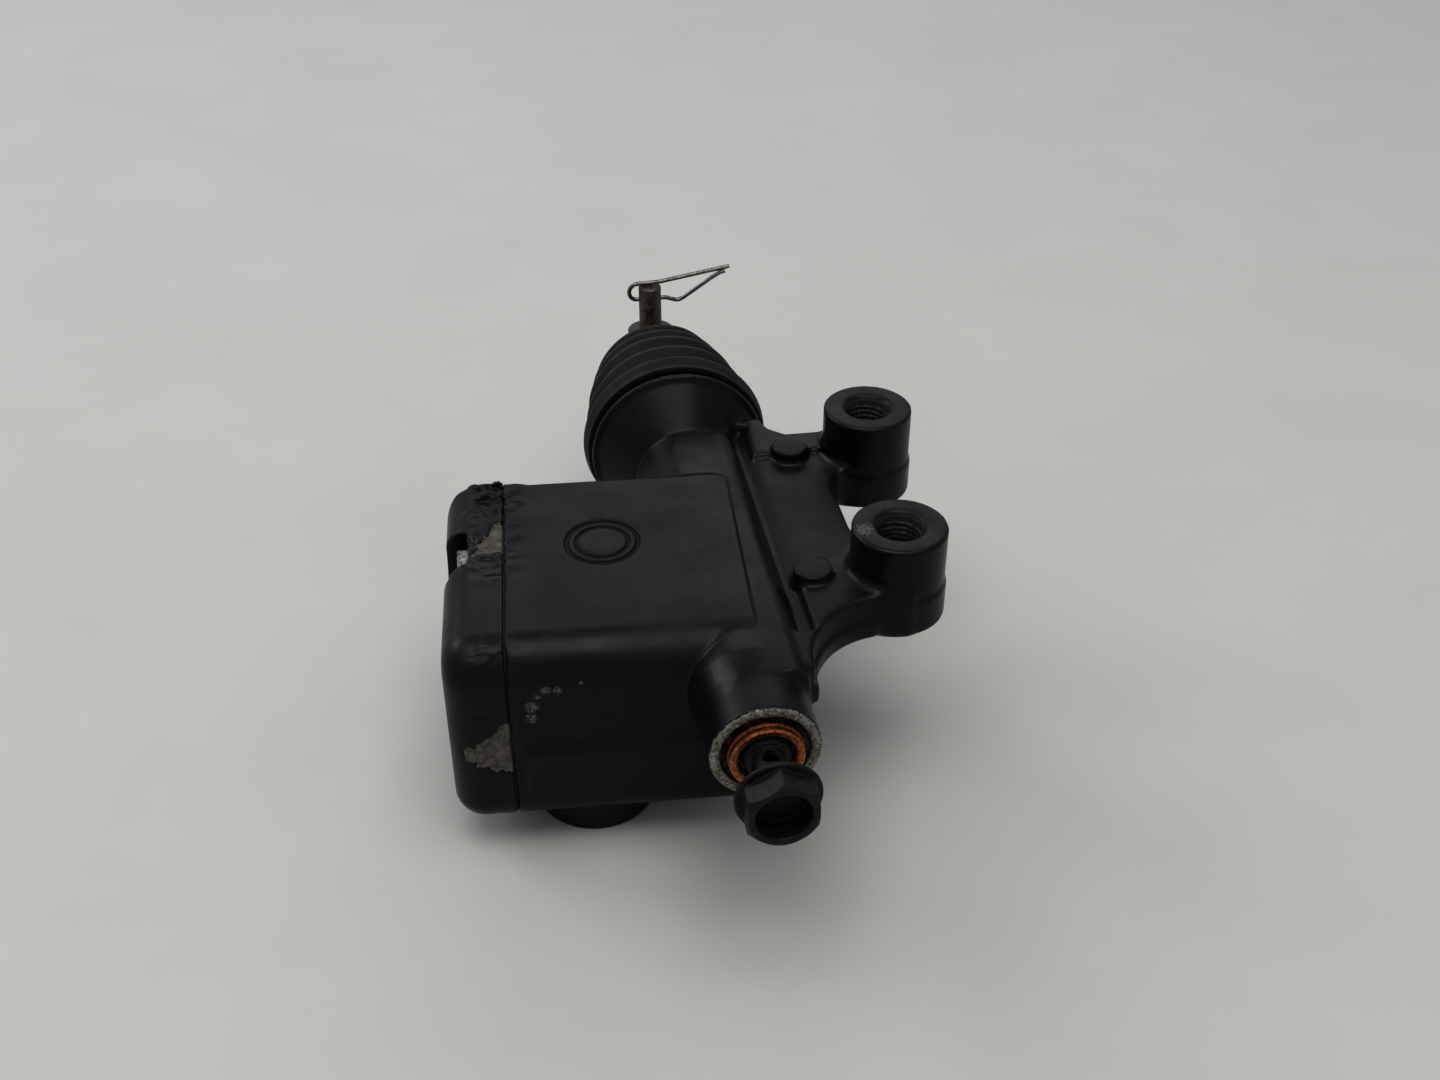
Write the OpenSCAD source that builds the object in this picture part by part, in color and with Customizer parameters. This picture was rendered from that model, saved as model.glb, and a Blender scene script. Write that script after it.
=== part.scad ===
// Rear brake master cylinder with a built-in fluid reservoir, in millimetres.
// The origin is midway between the two mounting bosses, on their top faces.
// +Z leaves the boss faces, +Y runs along the bore towards the push rod,
// and the reservoir lies on the -X side.

/* [Mounting] */
// distance between the two mounting holes
mount_spacing = 50; // [46:0.5:58]
// turn of the line through the mounting holes from the bore, in degrees
mount_turn = 6; // [0:0.5:8]
// outside diameter of a mounting boss
boss_d = 21; // [18:0.5:22]
// height of a mounting boss from its top face to its foot
boss_height = 22; // [20:0.5:25]
// diameter of the threaded mounting holes
mount_thread_d = 10; // [6:0.5:12]

/* [Bore] */
// diameter of the bore that the piston runs in
bore_d = 14; // [11:0.5:15]
// sideways distance from the mounting centre to the bore axis
bore_offset = 40.5; // [38:0.5:46]
// depth of the bore axis below the boss faces
bore_drop = 20.4; // [19:0.2:24]
// distance from the mounting centre to the outlet port face
port_reach = 69; // [66:1:76]
// distance from the mounting centre to the front of the boot collar
collar_reach = 45; // [43:1:52]
// outside diameter of the boot collar
collar_d = 43.6; // [40:0.2:46]
// piston travel
stroke = 12; // [8:0.5:13]

/* [Reservoir] */
// turn of the reservoir from the bore direction, in degrees
reservoir_turn = 3.8; // [0:0.2:5]
// length of the reservoir along the bore
reservoir_length = 64.8; // [58:0.2:70]
// height of the reservoir
reservoir_height = 46; // [42:0.5:50]
// distance from the reservoir's inner end to the cover joint
reservoir_span = 51.8; // [46:0.2:58]
// wall thickness of the reservoir
reservoir_wall = 3; // [2.5:0.1:3.6]
// depth of the cover with its diaphragm flange
cover_depth = 13.6; // [12:0.2:16]
// outside diameter of the sight glass boss
glass_boss_d = 27; // [25:0.5:29]

/* [Boot and push rod] */
// length of the boot from the collar front to its last fold
boot_length = 37; // [34:0.5:42]
// diameter of the push rod
rod_d = 8; // [6:0.5:8.5]
// outside width of the fork over both arms
fork_width = 18; // [16:0.5:20]
// gap between the fork arms
fork_gap = 10; // [8:0.5:11]
// diameter of the clevis pin
pin_d = 6; // [5:0.5:7]
// length of the clevis pin above its head
pin_length = 31.8; // [30:0.2:36]
// diameter of the hairpin wire
wire_d = 1.1; // [0.9:0.05:1.3]

/* [Outlet] */
// outside diameter of the port boss
port_d = 23; // [22:0.5:25]
// diameter of the banjo bolt thread
bolt_d = 9.8; // [8.8:0.2:10.2]
// width of the banjo bolt head across its flats
bolt_flats = 14; // [13:0.5:16]
// gap between the bolt flange and the port face
bolt_gap = 12; // [11:0.5:13]

/* [Hidden] */
$fn = 96;
cut = 1;

// clearances
running = 0.05;
thread_play = 0.1;
loose = 0.3;
seat_gap = 0.05;

// shared positions
bore_x = -bore_offset;
bore_z = -bore_drop;
bore_r = bore_d / 2;
port_y = -port_reach;
bore_floor_y = port_y + 23;
stop_y = collar_reach - 18;
barrel_r = bore_r + 4.6;
barrel_top = bore_z + 11.2;

// mounting bosses
boss_x = mount_spacing / 2 * sin(mount_turn);
boss_y = mount_spacing / 2 * cos(mount_turn);
boss_r = boss_d / 2;
boss_foot_r = boss_r + 0.4;
boss_foot_top = -13.4;

// web between the bosses and the barrel
web_top = -10.6;
web_floor = -11.8;
web_bottom = -21;
lip_top = -16.5;
slot_x = -9;
slot_low_y = -14;
slot_high_y = 17;
slot_corner_r = 8;
scoop_x = -8.5;
scoop_y = -boss_y - 29.7;
scoop_r = 19;
pad_r = 4.3;
pad_top = -8.8;
pad_inset = 18.9;
flank_x = bore_x + 11.5;
flank_corner_r = 4.5;

// port boss
port_r = port_d / 2;
port_seat_r = 9.2;
port_seat_depth = 1;
port_hole_r = bolt_d / 2 + thread_play;
port_hole_depth = 18.5;
port_flare_r = 12.5;
passage_r = 2.2;

// boot collar
collar_r = collar_d / 2;
collar_rim = 1.3;
collar_groove_r = collar_r - 2.2;
collar_groove = 4.4;
collar_bead_r = collar_r - 0.7;
collar_bead = 2;
collar_end_y = collar_reach + collar_rim + collar_groove + collar_bead;
collar_cone_y = collar_reach - 10;
collar_mouth_r = collar_r - 5.2;
collar_mouth_y = collar_reach + 1.5;
collar_mouth_cone = 6.5;
stop_bore_r = bore_r + 2;

// reservoir in its own turned frame
tank_x1 = bore_x + 6;
tank_x0 = tank_x1 - reservoir_span;
tank_y0 = port_y + 17.7;
tank_y1 = tank_y0 + reservoir_length;
tank_z1 = -8.3;
tank_z0 = tank_z1 - reservoir_height;
tank_near_r = 9;
tank_edge_r = 6;
tank_far_r = 2;
tank_end_r = 4;
cavity_x1 = bore_x - barrel_r - 3;
ring_x = tank_x0 + 21.4;
ring_y = tank_y1 - 26.1;
ring_r = 8.3;
ring_depth = 0.4;
ledge_z = tank_z1 - 23.4;
ledge_drop = 2.4;
ledge_out = 1.3;

// sight glass
glass_x = tank_x0 + 17;
glass_y = tank_y0 + 17.3;
glass_boss_r = glass_boss_d / 2;
glass_boss_z = tank_z0 - 7.6;
glass_hole_r = 8;
glass_seat_r = 10;
glass_ledge_z = tank_z0 - 1;
lens_t = 3;
seal_r = 0.9;

// cover joint
flange_t = 0.5;
cover_x1 = tank_x0 - flange_t;
cover_x0 = tank_x0 - cover_depth;
cover_round = 6.5;
cover_wall = 3.5;
screw_y = tank_y0 + 40;
screw_z1 = tank_z1 - 5.7;
screw_z0 = tank_z0 + 5.7;
screw_r = 2;
screw_head_r = 3.9;
screw_pocket_r = 8;
cover_column_r = screw_pocket_r + 1.6;
screw_boss_r = 4.6;
screw_length = 12;
screw_seat_x = cover_x0 + 5.6;

// piston
ball_y = stop_y - 3.4;
ball_r = 4;
piston_end_y = stop_y - 2.4;
piston_nose_y = stop_y - 23 - stroke;
piston_r = bore_r - running;
piston_waist_r = bore_r - 2.6;
cup_stem_r = bore_r - 3.4;
primary_y = piston_nose_y;
primary_t = 4.5;
primary_land_y = primary_y + primary_t + 0.2;
secondary_y = stop_y - 11;
secondary_t = 4;
cup_lip = 1.2;
spring_seat_y = primary_y - 0.2;
spring_seat_t = 2;

// return spring
spring_wire = 1.3;
spring_r = bore_r - 1.6;
spring_turns = 8;
spring_sides = 8;
spring_steps = 18;
spring_y0 = bore_floor_y + spring_wire / 2 + seat_gap;
spring_y1 = spring_seat_y - spring_seat_t - spring_wire / 2 - seat_gap;

// push rod
rod_r = rod_d / 2;
rod_flange_r = 6.2;
rod_flange_y = stop_y - 1.8;
rod_flange_t = 1.5;
boot_end_y = collar_reach + boot_length;
neck_y = boot_end_y - 8;
neck_t = 2.6;
nut_y = neck_y + neck_t + 0.3;
nut_t = 4.5;
nut_flats = rod_d * 13 / 8;
fork_y = nut_y + nut_t + 0.1;
fork_base = 4.5;
fork_half = 6.2;
pin_y = fork_y + fork_base + 8;
rod_end_y = fork_y + fork_base - 0.3;

// stop washer and circlip
washer_y = stop_y + 0.1;
washer_t = 1.4;
washer_hole_r = 5.6;
clip_y = washer_y + washer_t + 0.05;
clip_t = 1.2;
clip_groove = 0.9;
clip_band = 2;
lug_r = 1.5;
lug_x = 3.6;

// clevis pin and hairpin
pin_r = pin_d / 2;
pin_head_t = 2.3;
pin_head_r = pin_r + 1.5;
pin_head_z = bore_z - fork_width / 2 - loose;
pin_top_z = pin_head_z + pin_length;
wire_r = wire_d / 2;
wire_hole_r = wire_r + 0.07;
wire_hole_z = pin_top_z - 4;
wire_rest_z = pin_top_z + wire_r + 0.07;

// banjo bolt
bolt_r = bolt_d / 2;
bolt_flange_y = port_y - bolt_gap;
bolt_flange_t = 1;
bolt_flange_r = bolt_flats * 0.63;
bolt_head = 5.5;
bolt_recess_r = bolt_flats * 0.4;
bolt_recess = 5.2;
bolt_shoulder = 2.8;
bolt_neck_r = bolt_r - 1.2;
bolt_neck = 7.2;
bolt_tip_y = port_y + 8;
bolt_drill_r = 2.2;
cross_hole_r = 1.7;

// crush washers
crush_hole_r = bolt_r + 1.1;
crush_r = 7.9;
crush_t = 1.5;
crush_step = 0.25;

// outline colours
black = [0.06, 0.06, 0.07];
steel = [0.62, 0.62, 0.6];
rust = [0.3, 0.22, 0.17];
zinc = [0.68, 0.62, 0.4];
copper = [0.75, 0.4, 0.25];
rubber = [0.1, 0.1, 0.1];

// puts a shape drawn along +Z on the bore axis, its z = 0 at row y
module on_bore(y = 0) {
    translate([bore_x, y, bore_z])
        rotate([-90, 0, 0])
            children();
}

// a solid of revolution about the bore from [y, r] points
module bore_turned(points) {
    on_bore()
        rotate_extrude()
            polygon([for (p = points) [p[1], p[0]]]);
}

// places a shape in the reservoir's turned frame
module in_tank_frame() {
    rotate([0, 0, -reservoir_turn])
        children();
}

// cross-section of the reservoir in (y, z), drawn in by inset
module tank_section(inset = 0) {
    near = max(tank_near_r - inset, 1);
    edge = max(tank_edge_r - inset, 1);
    far = max(tank_far_r - inset, 1);
    y0 = tank_y0 + inset;
    y1 = tank_y1 - inset;
    z0 = tank_z0 + inset;
    z1 = tank_z1 - inset;
    polygon([[y0 + edge, z0], [y1 - edge, z0], [y1, z0 + edge], [y1, z1 - far],
        [y1 - far, z1], [y0 + near, z1], [y0, z1 - near], [y0, z0 + edge]]);
    translate([y0 + edge, z0 + edge])
        circle(edge);
    translate([y1 - edge, z0 + edge])
        circle(edge);
    translate([y1 - far, z1 - far])
        circle(far);
    translate([y0 + near, z1 - near])
        circle(near);
}

// the reservoir section extruded along +X from x
module tank_slab(x, length, inset = 0) {
    translate([x, 0, 0])
        rotate([90, 0, 90])
            linear_extrude(length)
                tank_section(inset);
}

// a rod along X in the reservoir frame
module tank_rod(x, y, z, length, r) {
    translate([x, y, z])
        rotate([0, 90, 0])
            cylinder(h = length, r = r);
}

// rounded rectangle from two corners
module rounded_plate(low, high, r) {
    translate([low[0] + r, low[1]])
        square([high[0] - low[0] - 2 * r, high[1] - low[1]]);
    translate([low[0], low[1] + r])
        square([high[0] - low[0], high[1] - low[1] - 2 * r]);
    for (x = [low[0] + r, high[0] - r], y = [low[1] + r, high[1] - r])
        translate([x, y])
            circle(r);
}

// reservoir box with its rounded inner end
module tank_box() {
    intersection() {
        tank_slab(tank_x0, reservoir_span);
        translate([0, 0, tank_z0 - cut])
            linear_extrude(reservoir_height + 2 * cut)
                rounded_plate([tank_x0 - tank_end_r - cut, tank_y0 - cut],
                    [tank_x1, tank_y1 + 0.01], tank_end_r);
    }
}

// ledge on the near face, fading out towards the bottom
module tank_band() {
    x0 = tank_x0 + 2.3;
    x1 = tank_x1 - 12;
    translate([x0, 0, 0])
        rotate([90, 0, 90])
            linear_extrude(x1 - x0)
                polygon([[tank_y0 + 1, ledge_z], [tank_y0, ledge_z],
                    [tank_y0 - ledge_out, ledge_z - ledge_drop],
                    [tank_y0, tank_z0 + tank_edge_r], [tank_y0 + 1, tank_z0 + tank_edge_r]]);
}

// inner hollow of the reservoir, open at the cover joint
module tank_hollow() {
    difference() {
        tank_slab(tank_x0 - cut, cavity_x1 - tank_x0 + cut, reservoir_wall);
        for (z = [screw_z0, screw_z1])
            tank_rod(tank_x0 - 2 * cut, screw_y, z, screw_length + 5, screw_boss_r);
        for (s = [[screw_z1, 1], [screw_z0, -1]])
            translate([tank_x0 - 2 * cut, screw_y - screw_boss_r, min(s[0], s[0] + s[1] * 10)])
                cube([screw_length + 5, 2 * screw_boss_r, 10]);
    }
}

// the barrel, its squared flank, the port boss and the boot collar
module barrel_solid() {
    bore_turned([[port_y, 0], [port_y, port_r - 0.4], [port_y + 0.4, port_r],
        [port_y + 8, port_r], [port_y + 12, port_r + 0.2], [port_y + 15, port_flare_r - 0.3],
        [port_y + 17, port_flare_r], [port_y + 21, port_flare_r], [port_y + 25, barrel_r],
        [collar_cone_y, barrel_r], [collar_reach - 0.8, collar_r - 1.5], [collar_reach, collar_r],
        [collar_reach + collar_rim, collar_r], [collar_reach + collar_rim, collar_groove_r],
        [collar_end_y - collar_bead, collar_groove_r], [collar_end_y - collar_bead, collar_bead_r],
        [collar_end_y - 0.6, collar_bead_r], [collar_end_y, collar_bead_r - 0.6],
        [collar_end_y, 0]]);
    translate([0, collar_cone_y + 1, 0])
        rotate([90, 0, 0])
            linear_extrude(collar_cone_y - port_y - 11) {
                polygon([[bore_x, bore_z], [flank_x, bore_z],
                    [flank_x, barrel_top - flank_corner_r],
                    [flank_x - flank_corner_r, barrel_top], [bore_x - 4, barrel_top],
                    [bore_x - 4, bore_z]]);
                translate([flank_x - flank_corner_r, barrel_top - flank_corner_r])
                    circle(flank_corner_r);
            }
}

// web outline with the scoop in front of the near boss cut to radius r
module web_outline(r) {
    difference() {
        polygon([[bore_x, collar_cone_y + 6], [bore_x + 19.5, collar_cone_y + 6],
            [bore_x + 21.5, boss_y + 12], [bore_x + 25, boss_y + 8.8], [boss_x, boss_y + 8.4],
            [boss_x + 2, boss_y], [-boss_x + 2, -boss_y], [-boss_x, -boss_y - boss_r],
            [-boss_x - 6, -boss_y - boss_r], [bore_x + 14, port_y + 13.5],
            [bore_x, port_y + 13.5]]);
        translate([scoop_x, scoop_y])
            circle(r);
        rounded_plate([slot_x, slot_low_y], [boss_x + 40, slot_high_y], slot_corner_r);
    }
}

// web, lip, bosses and pads
module mounting_ears() {
    difference() {
        union() {
            translate([0, 0, web_bottom])
                linear_extrude(web_top - web_bottom)
                    web_outline(scoop_r);
            translate([0, 0, web_bottom])
                linear_extrude(lip_top - web_bottom)
                    web_outline(scoop_r - 1);
        }
        translate([flank_x - 3, -boss_y, web_floor])
            cube([60, 2 * boss_y, 10]);
    }
    for (s = [-1, 1])
        translate([s * boss_x, s * boss_y, 0]) {
            translate([0, 0, -boss_height])
                cylinder(h = boss_height, r = boss_r);
            translate([0, 0, -boss_height])
                cylinder(h = boss_height + boss_foot_top, r = boss_foot_r);
            translate([-pad_inset, 0, web_floor - 1])
                cylinder(h = pad_top - web_floor + 1, r = pad_r);
        }
}

// everything that is drilled along the bore
module bore_cut() {
    bore_turned([[bore_floor_y, 0], [bore_floor_y, bore_r], [stop_y, bore_r],
        [stop_y, stop_bore_r], [collar_mouth_y - collar_mouth_cone, stop_bore_r],
        [collar_mouth_y, collar_mouth_r], [collar_end_y + cut, collar_mouth_r],
        [collar_end_y + cut, 0]]);
    bore_turned([[clip_y, 0], [clip_y, stop_bore_r + clip_groove],
        [clip_y + clip_t + 0.1, stop_bore_r + clip_groove], [clip_y + clip_t + 0.1, 0]]);
    bore_turned([[port_y - cut, 0], [port_y - cut, port_seat_r],
        [port_y + port_seat_depth, port_seat_r], [port_y + port_seat_depth, port_hole_r],
        [port_y + port_hole_depth, port_hole_r],
        [port_y + port_hole_depth + 2, passage_r], [bore_floor_y + cut, passage_r],
        [bore_floor_y + cut, 0]]);
    translate([bore_x - barrel_r - 6, primary_land_y + 8, bore_z])
        rotate([0, 90, 0])
            cylinder(h = barrel_r + 4, r = 1.4);
    translate([bore_x - barrel_r - 6, primary_y - 1.6, bore_z])
        rotate([0, 90, 0])
            cylinder(h = barrel_r + 4, r = 0.4);
}

// one plain engraved ring on the reservoir's top face
module engraved_ring(outer, width) {
    translate([ring_x, ring_y, tank_z1 - ring_depth])
        difference() {
            cylinder(h = ring_depth + cut, r = outer);
            translate([0, 0, -cut])
                cylinder(h = ring_depth + 3 * cut, r = outer - width);
        }
}

module cylinder_body() {
    color(black)
        difference() {
            union() {
                barrel_solid();
                mounting_ears();
                in_tank_frame() {
                    tank_box();
                    tank_band();
                    translate([glass_x, glass_y, glass_boss_z])
                        cylinder(h = tank_z0 - glass_boss_z + reservoir_wall, r = glass_boss_r);
                }
            }
            bore_cut();
            for (s = [-1, 1])
                translate([s * boss_x, s * boss_y, -boss_height - cut])
                    cylinder(h = boss_height + 2 * cut, r = mount_thread_d / 2);
            in_tank_frame() {
                tank_hollow();
                engraved_ring(ring_r, 0.8);
                engraved_ring(ring_r - 2.2, 0.6);
                translate([glass_x, glass_y, glass_boss_z - cut])
                    cylinder(h = 20, r = glass_hole_r);
                translate([glass_x, glass_y, glass_boss_z - cut])
                    cylinder(h = glass_ledge_z - glass_boss_z + cut, r = glass_seat_r);
                for (z = [screw_z0, screw_z1])
                    tank_rod(tank_x0 - cut, screw_y, z, screw_length + cut, screw_r + seat_gap);
            }
        }
}

// outer shape of the cover, rounded towards its outer end
module cover_solid() {
    steps = 5;
    hull()
        for (i = [0:steps]) {
            a = 90 * i / steps;
            tank_slab(cover_x0 + cover_round * (1 - sin(a)),
                cover_x1 - cover_x0 - cover_round * (1 - sin(a)),
                cover_round * (1 - cos(a)), $fn = 48);
        }
}

module reservoir_cover() {
    color(black)
        in_tank_frame()
            difference() {
                cover_solid();
                difference() {
                    tank_slab(cover_x0 + 5, cover_x1 - cover_x0, cover_wall + 2);
                    for (z = [screw_z0, screw_z1])
                        tank_rod(cover_x0, screw_y, z, cover_depth, cover_column_r);
                    for (s = [[screw_z1, 1], [screw_z0, -1]])
                        translate([cover_x0, screw_y - cover_column_r,
                            min(s[0], s[0] + s[1] * 10)])
                            cube([cover_depth, 2 * cover_column_r, 10]);
                }
                for (z = [screw_z0, screw_z1]) {
                    tank_rod(cover_x0 - cut, screw_y, z, screw_seat_x - cover_x0 + cut,
                        screw_pocket_r);
                    tank_rod(cover_x0, screw_y, z, cover_depth, screw_r + 0.2);
                }
            }
}

module cover_screws() {
    color(zinc)
        in_tank_frame()
            for (z = [screw_z0, screw_z1]) {
                difference() {
                    tank_rod(screw_seat_x - 2.6, screw_y, z, 2.6 - seat_gap, screw_head_r);
                    for (a = [0, 90])
                        translate([screw_seat_x - 2, screw_y, z])
                            rotate([a, 0, 0])
                                cube([3, 4.4, 0.9], center = true);
                }
                tank_rod(screw_seat_x - 0.2, screw_y, z,
                    tank_x0 + screw_length - 1 - screw_seat_x, screw_r);
            }
}

// outline of a soft or plate part that clears the cover's screw columns
module clear_of_screws() {
    difference() {
        children();
        for (z = [screw_z0, screw_z1])
            tank_rod(cover_x0, screw_y, z, cover_depth + 20, cover_column_r + loose);
        for (s = [[screw_z1, 1], [screw_z0, -1]])
            translate([cover_x0, screw_y - cover_column_r - loose, min(s[0], s[0] + s[1] * 10)])
                cube([cover_depth + 20, 2 * (cover_column_r + loose), 10]);
    }
}

module diaphragm_plate() {
    color([0.85, 0.85, 0.8])
        in_tank_frame()
            clear_of_screws()
                tank_slab(cover_x0 + 6.2, 2, cover_wall + 2.3);
}

module diaphragm() {
    color(rubber)
        in_tank_frame() {
            difference() {
                tank_slab(cover_x1 + seat_gap, flange_t - 2 * seat_gap, 0.5);
                for (z = [screw_z0, screw_z1])
                    tank_rod(cover_x0, screw_y, z, cover_depth + 2, screw_r + 0.3);
                clear_of_screws()
                    tank_slab(cover_x0, cover_depth + 4, cover_wall + 3.6);
            }
            clear_of_screws()
                difference() {
                    tank_slab(cover_x1 + seat_gap, 9, cover_wall + 2.4);
                    tank_slab(cover_x1 - cut, 9 - cut, cover_wall + 3.6);
                }
        }
}

module sight_glass_lens() {
    color([0.8, 0.85, 0.8, 0.6])
        in_tank_frame()
            translate([glass_x, glass_y, glass_ledge_z - lens_t - seat_gap])
                cylinder(h = lens_t, r = glass_seat_r - 0.1);
}

module sight_glass_seal() {
    color(rubber)
        in_tank_frame()
            translate([glass_x, glass_y, glass_ledge_z - lens_t - seal_r - 2 * seat_gap])
                rotate_extrude()
                    translate([glass_seat_r - seal_r - 0.1, 0])
                        circle(seal_r, $fn = 32);
}

module sight_glass_ring() {
    top = glass_ledge_z - lens_t - 2 * seal_r - 3 * seat_gap;
    color(steel)
        in_tank_frame()
            translate([glass_x, glass_y, glass_boss_z + 0.2])
                difference() {
                    cylinder(h = top - glass_boss_z - 0.2, r = glass_seat_r - seat_gap);
                    translate([0, 0, -cut])
                        cylinder(h = 12, r = glass_hole_r);
                }
}

module piston() {
    color([0.7, 0.66, 0.5])
        difference() {
            bore_turned([[primary_y, 0], [primary_y, cup_stem_r],
                [primary_land_y - 0.1, cup_stem_r], [primary_land_y - 0.1, piston_r],
                [primary_land_y + 2.6, piston_r], [primary_land_y + 3.4, piston_waist_r],
                [secondary_y - 2, piston_waist_r], [secondary_y - 1.2, piston_r],
                [secondary_y, piston_r], [secondary_y, cup_stem_r],
                [secondary_y + secondary_t, cup_stem_r], [secondary_y + secondary_t, piston_r],
                [piston_end_y - 0.5, piston_r], [piston_end_y, piston_r - 0.5],
                [piston_end_y, 0]]);
            translate([bore_x, ball_y, bore_z])
                sphere(ball_r + running);
            on_bore(ball_y)
                cylinder(h = 8, r1 = ball_r + running, r2 = ball_r + 2);
        }
}

// a cup seal with a lip that opens towards -Y
module cup(y, thickness) {
    bore_turned([[y + 0.1, cup_stem_r + 1.6], [y + 0.1, cup_stem_r + seat_gap],
        [y + thickness - 0.1, cup_stem_r + seat_gap], [y + thickness - 0.1, piston_r - 0.1],
        [y + 0.6, piston_r], [y + 0.1, piston_r - 0.3], [y + 0.1, piston_r - cup_lip + 0.3],
        [y + thickness / 2, piston_r - cup_lip], [y + thickness / 2, cup_stem_r + 1.6]]);
}

module primary_cup() {
    color(rubber)
        cup(primary_y, primary_t);
}

module secondary_cup() {
    color(rubber)
        cup(secondary_y, secondary_t);
}

module spring_seat() {
    color(steel)
        bore_turned([[spring_seat_y - spring_seat_t - 3, 0],
            [spring_seat_y - spring_seat_t - 3, spring_r - spring_wire - 0.6],
            [spring_seat_y - spring_seat_t, spring_r - spring_wire - 0.4],
            [spring_seat_y - spring_seat_t, bore_r - 0.6], [spring_seat_y, bore_r - 0.6],
            [spring_seat_y, 0]]);
}

// point on the spring wire's surface at turn angle a and wire angle b
function spring_point(a, b) =
    let (r = spring_r - spring_wire / 2 + spring_wire / 2 * cos(b),
        rise = (spring_y1 - spring_y0) * a / (360 * spring_turns))
    [bore_x + r * cos(a), spring_y0 + rise + spring_wire / 2 * sin(b), bore_z + r * sin(a)];

module return_spring() {
    rings = spring_turns * spring_steps;
    n = spring_sides;
    points = [for (i = [0:rings], j = [0:n - 1]) spring_point(360 * i / spring_steps, 360 * j / n)];
    sides = [for (i = [0:rings - 1], j = [0:n - 1])
        [i * n + j, i * n + (j + 1) % n, (i + 1) * n + (j + 1) % n, (i + 1) * n + j]];
    first = [for (j = [n - 1:-1:0]) j];
    last = [for (j = [0:n - 1]) rings * n + j];
    color(steel)
        polyhedron(points, concat(sides, [first], [last]), convexity = 10);
}

module push_rod() {
    color(zinc) {
        translate([bore_x, ball_y, bore_z])
            sphere(ball_r);
        bore_turned([[ball_y, 0], [ball_y, ball_r - 0.8], [rod_flange_y, ball_r - 0.8],
            [rod_flange_y, rod_flange_r], [rod_flange_y + rod_flange_t, rod_flange_r],
            [rod_flange_y + rod_flange_t, rod_r], [rod_end_y - 0.6, rod_r],
            [rod_end_y, rod_r - 0.6], [rod_end_y, 0]]);
    }
}

module retaining_washer() {
    color(steel)
        bore_turned([[washer_y, washer_hole_r], [washer_y, stop_bore_r - 0.15],
            [washer_y + washer_t, stop_bore_r - 0.15], [washer_y + washer_t, washer_hole_r]]);
}

module circlip() {
    outer = stop_bore_r + clip_groove - 0.1;
    lug_y = -outer + clip_band / 2 + 1.3;
    color(steel)
        on_bore(clip_y + 0.05)
            difference() {
                union() {
                    difference() {
                        cylinder(h = clip_t, r = outer);
                        translate([0, 0, -cut])
                            cylinder(h = clip_t + 2 * cut, r = outer - clip_band);
                        translate([-2.4, -outer - cut, -cut])
                            cube([4.8, 8, clip_t + 2 * cut]);
                    }
                    for (s = [-1, 1])
                        translate([s * lug_x, lug_y, 0])
                            cylinder(h = clip_t, r = lug_r);
                }
                for (s = [-1, 1])
                    translate([s * lug_x, lug_y, -cut])
                        cylinder(h = clip_t + 2 * cut, r = 0.7);
            }
}

// the boot's outer and inner walls as [distance from the collar front, radius]
boot_k = boot_length / 37;
lip_r = collar_r + 1.5;
boot_front = 3;
boot_outer = [[boot_front, lip_r - 1.5], [3.6, lip_r - 0.9], [6.8, lip_r], [7.6, lip_r - 0.2],
    [8, lip_r - 0.7], [9.2, lip_r - 2.8], [10.4, lip_r - 3.9], [15, lip_r - 2.2],
    [16.2, lip_r - 1.9], [17.2, lip_r - 2.3], [19.2, lip_r - 4.4], [20.2, lip_r - 4.7],
    [23.3, lip_r - 3.5], [24.2, lip_r - 3.3], [25, lip_r - 3.6], [26.8, lip_r - 5.9],
    [27.8, lip_r - 6.1], [30.2, lip_r - 5.2], [31, lip_r - 5], [31.7, lip_r - 5.3],
    [33.4, lip_r - 7.7], [34.2, lip_r - 7.9], [36.2, lip_r - 6.8], [36.8, lip_r - 6.6],
    [37.4, lip_r - 6.9], [38, lip_r - 7.8]];
boot_inner = [[36.8, lip_r - 8.6], [36.4, lip_r - 8.2], [34.2, lip_r - 9.4],
    [32.9, lip_r - 9.2], [31, lip_r - 6.7], [27.8, lip_r - 7.6], [26.2, lip_r - 7.3],
    [24.2, lip_r - 4.9], [20.2, lip_r - 6.2], [18.6, lip_r - 5.9], [16.2, lip_r - 3.5],
    [10, lip_r - 5.3]];

module dust_boot() {
    folds = [for (p = boot_outer) [collar_reach + p[0] * (p[0] > 8 ? boot_k : 1), p[1]]];
    lining = [for (p = boot_inner) [collar_reach + p[0] * boot_k, p[1]]];
    neck_r = rod_r + 0.05;
    end_wall = [[boot_end_y - 1.4, 10.6], [boot_end_y - 5, 9.3], [neck_y + neck_t, 6.4],
        [neck_y + neck_t, neck_r], [neck_y, neck_r], [neck_y, rod_r + 2],
        [neck_y - 0.6, rod_r + 4.6], [boot_end_y - 3.4, 11.8]];
    seat = [[collar_end_y + 0.1, lip_r - 3.6], [collar_end_y + 0.1, collar_bead_r + 0.1],
        [collar_end_y - collar_bead - 0.1, collar_bead_r + 0.1],
        [collar_end_y - collar_bead - 0.1, collar_groove_r + 0.1],
        [collar_reach + boot_front, collar_groove_r + 0.1]];
    color(rubber)
        bore_turned(concat(folds, end_wall, lining, seat));
}

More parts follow.
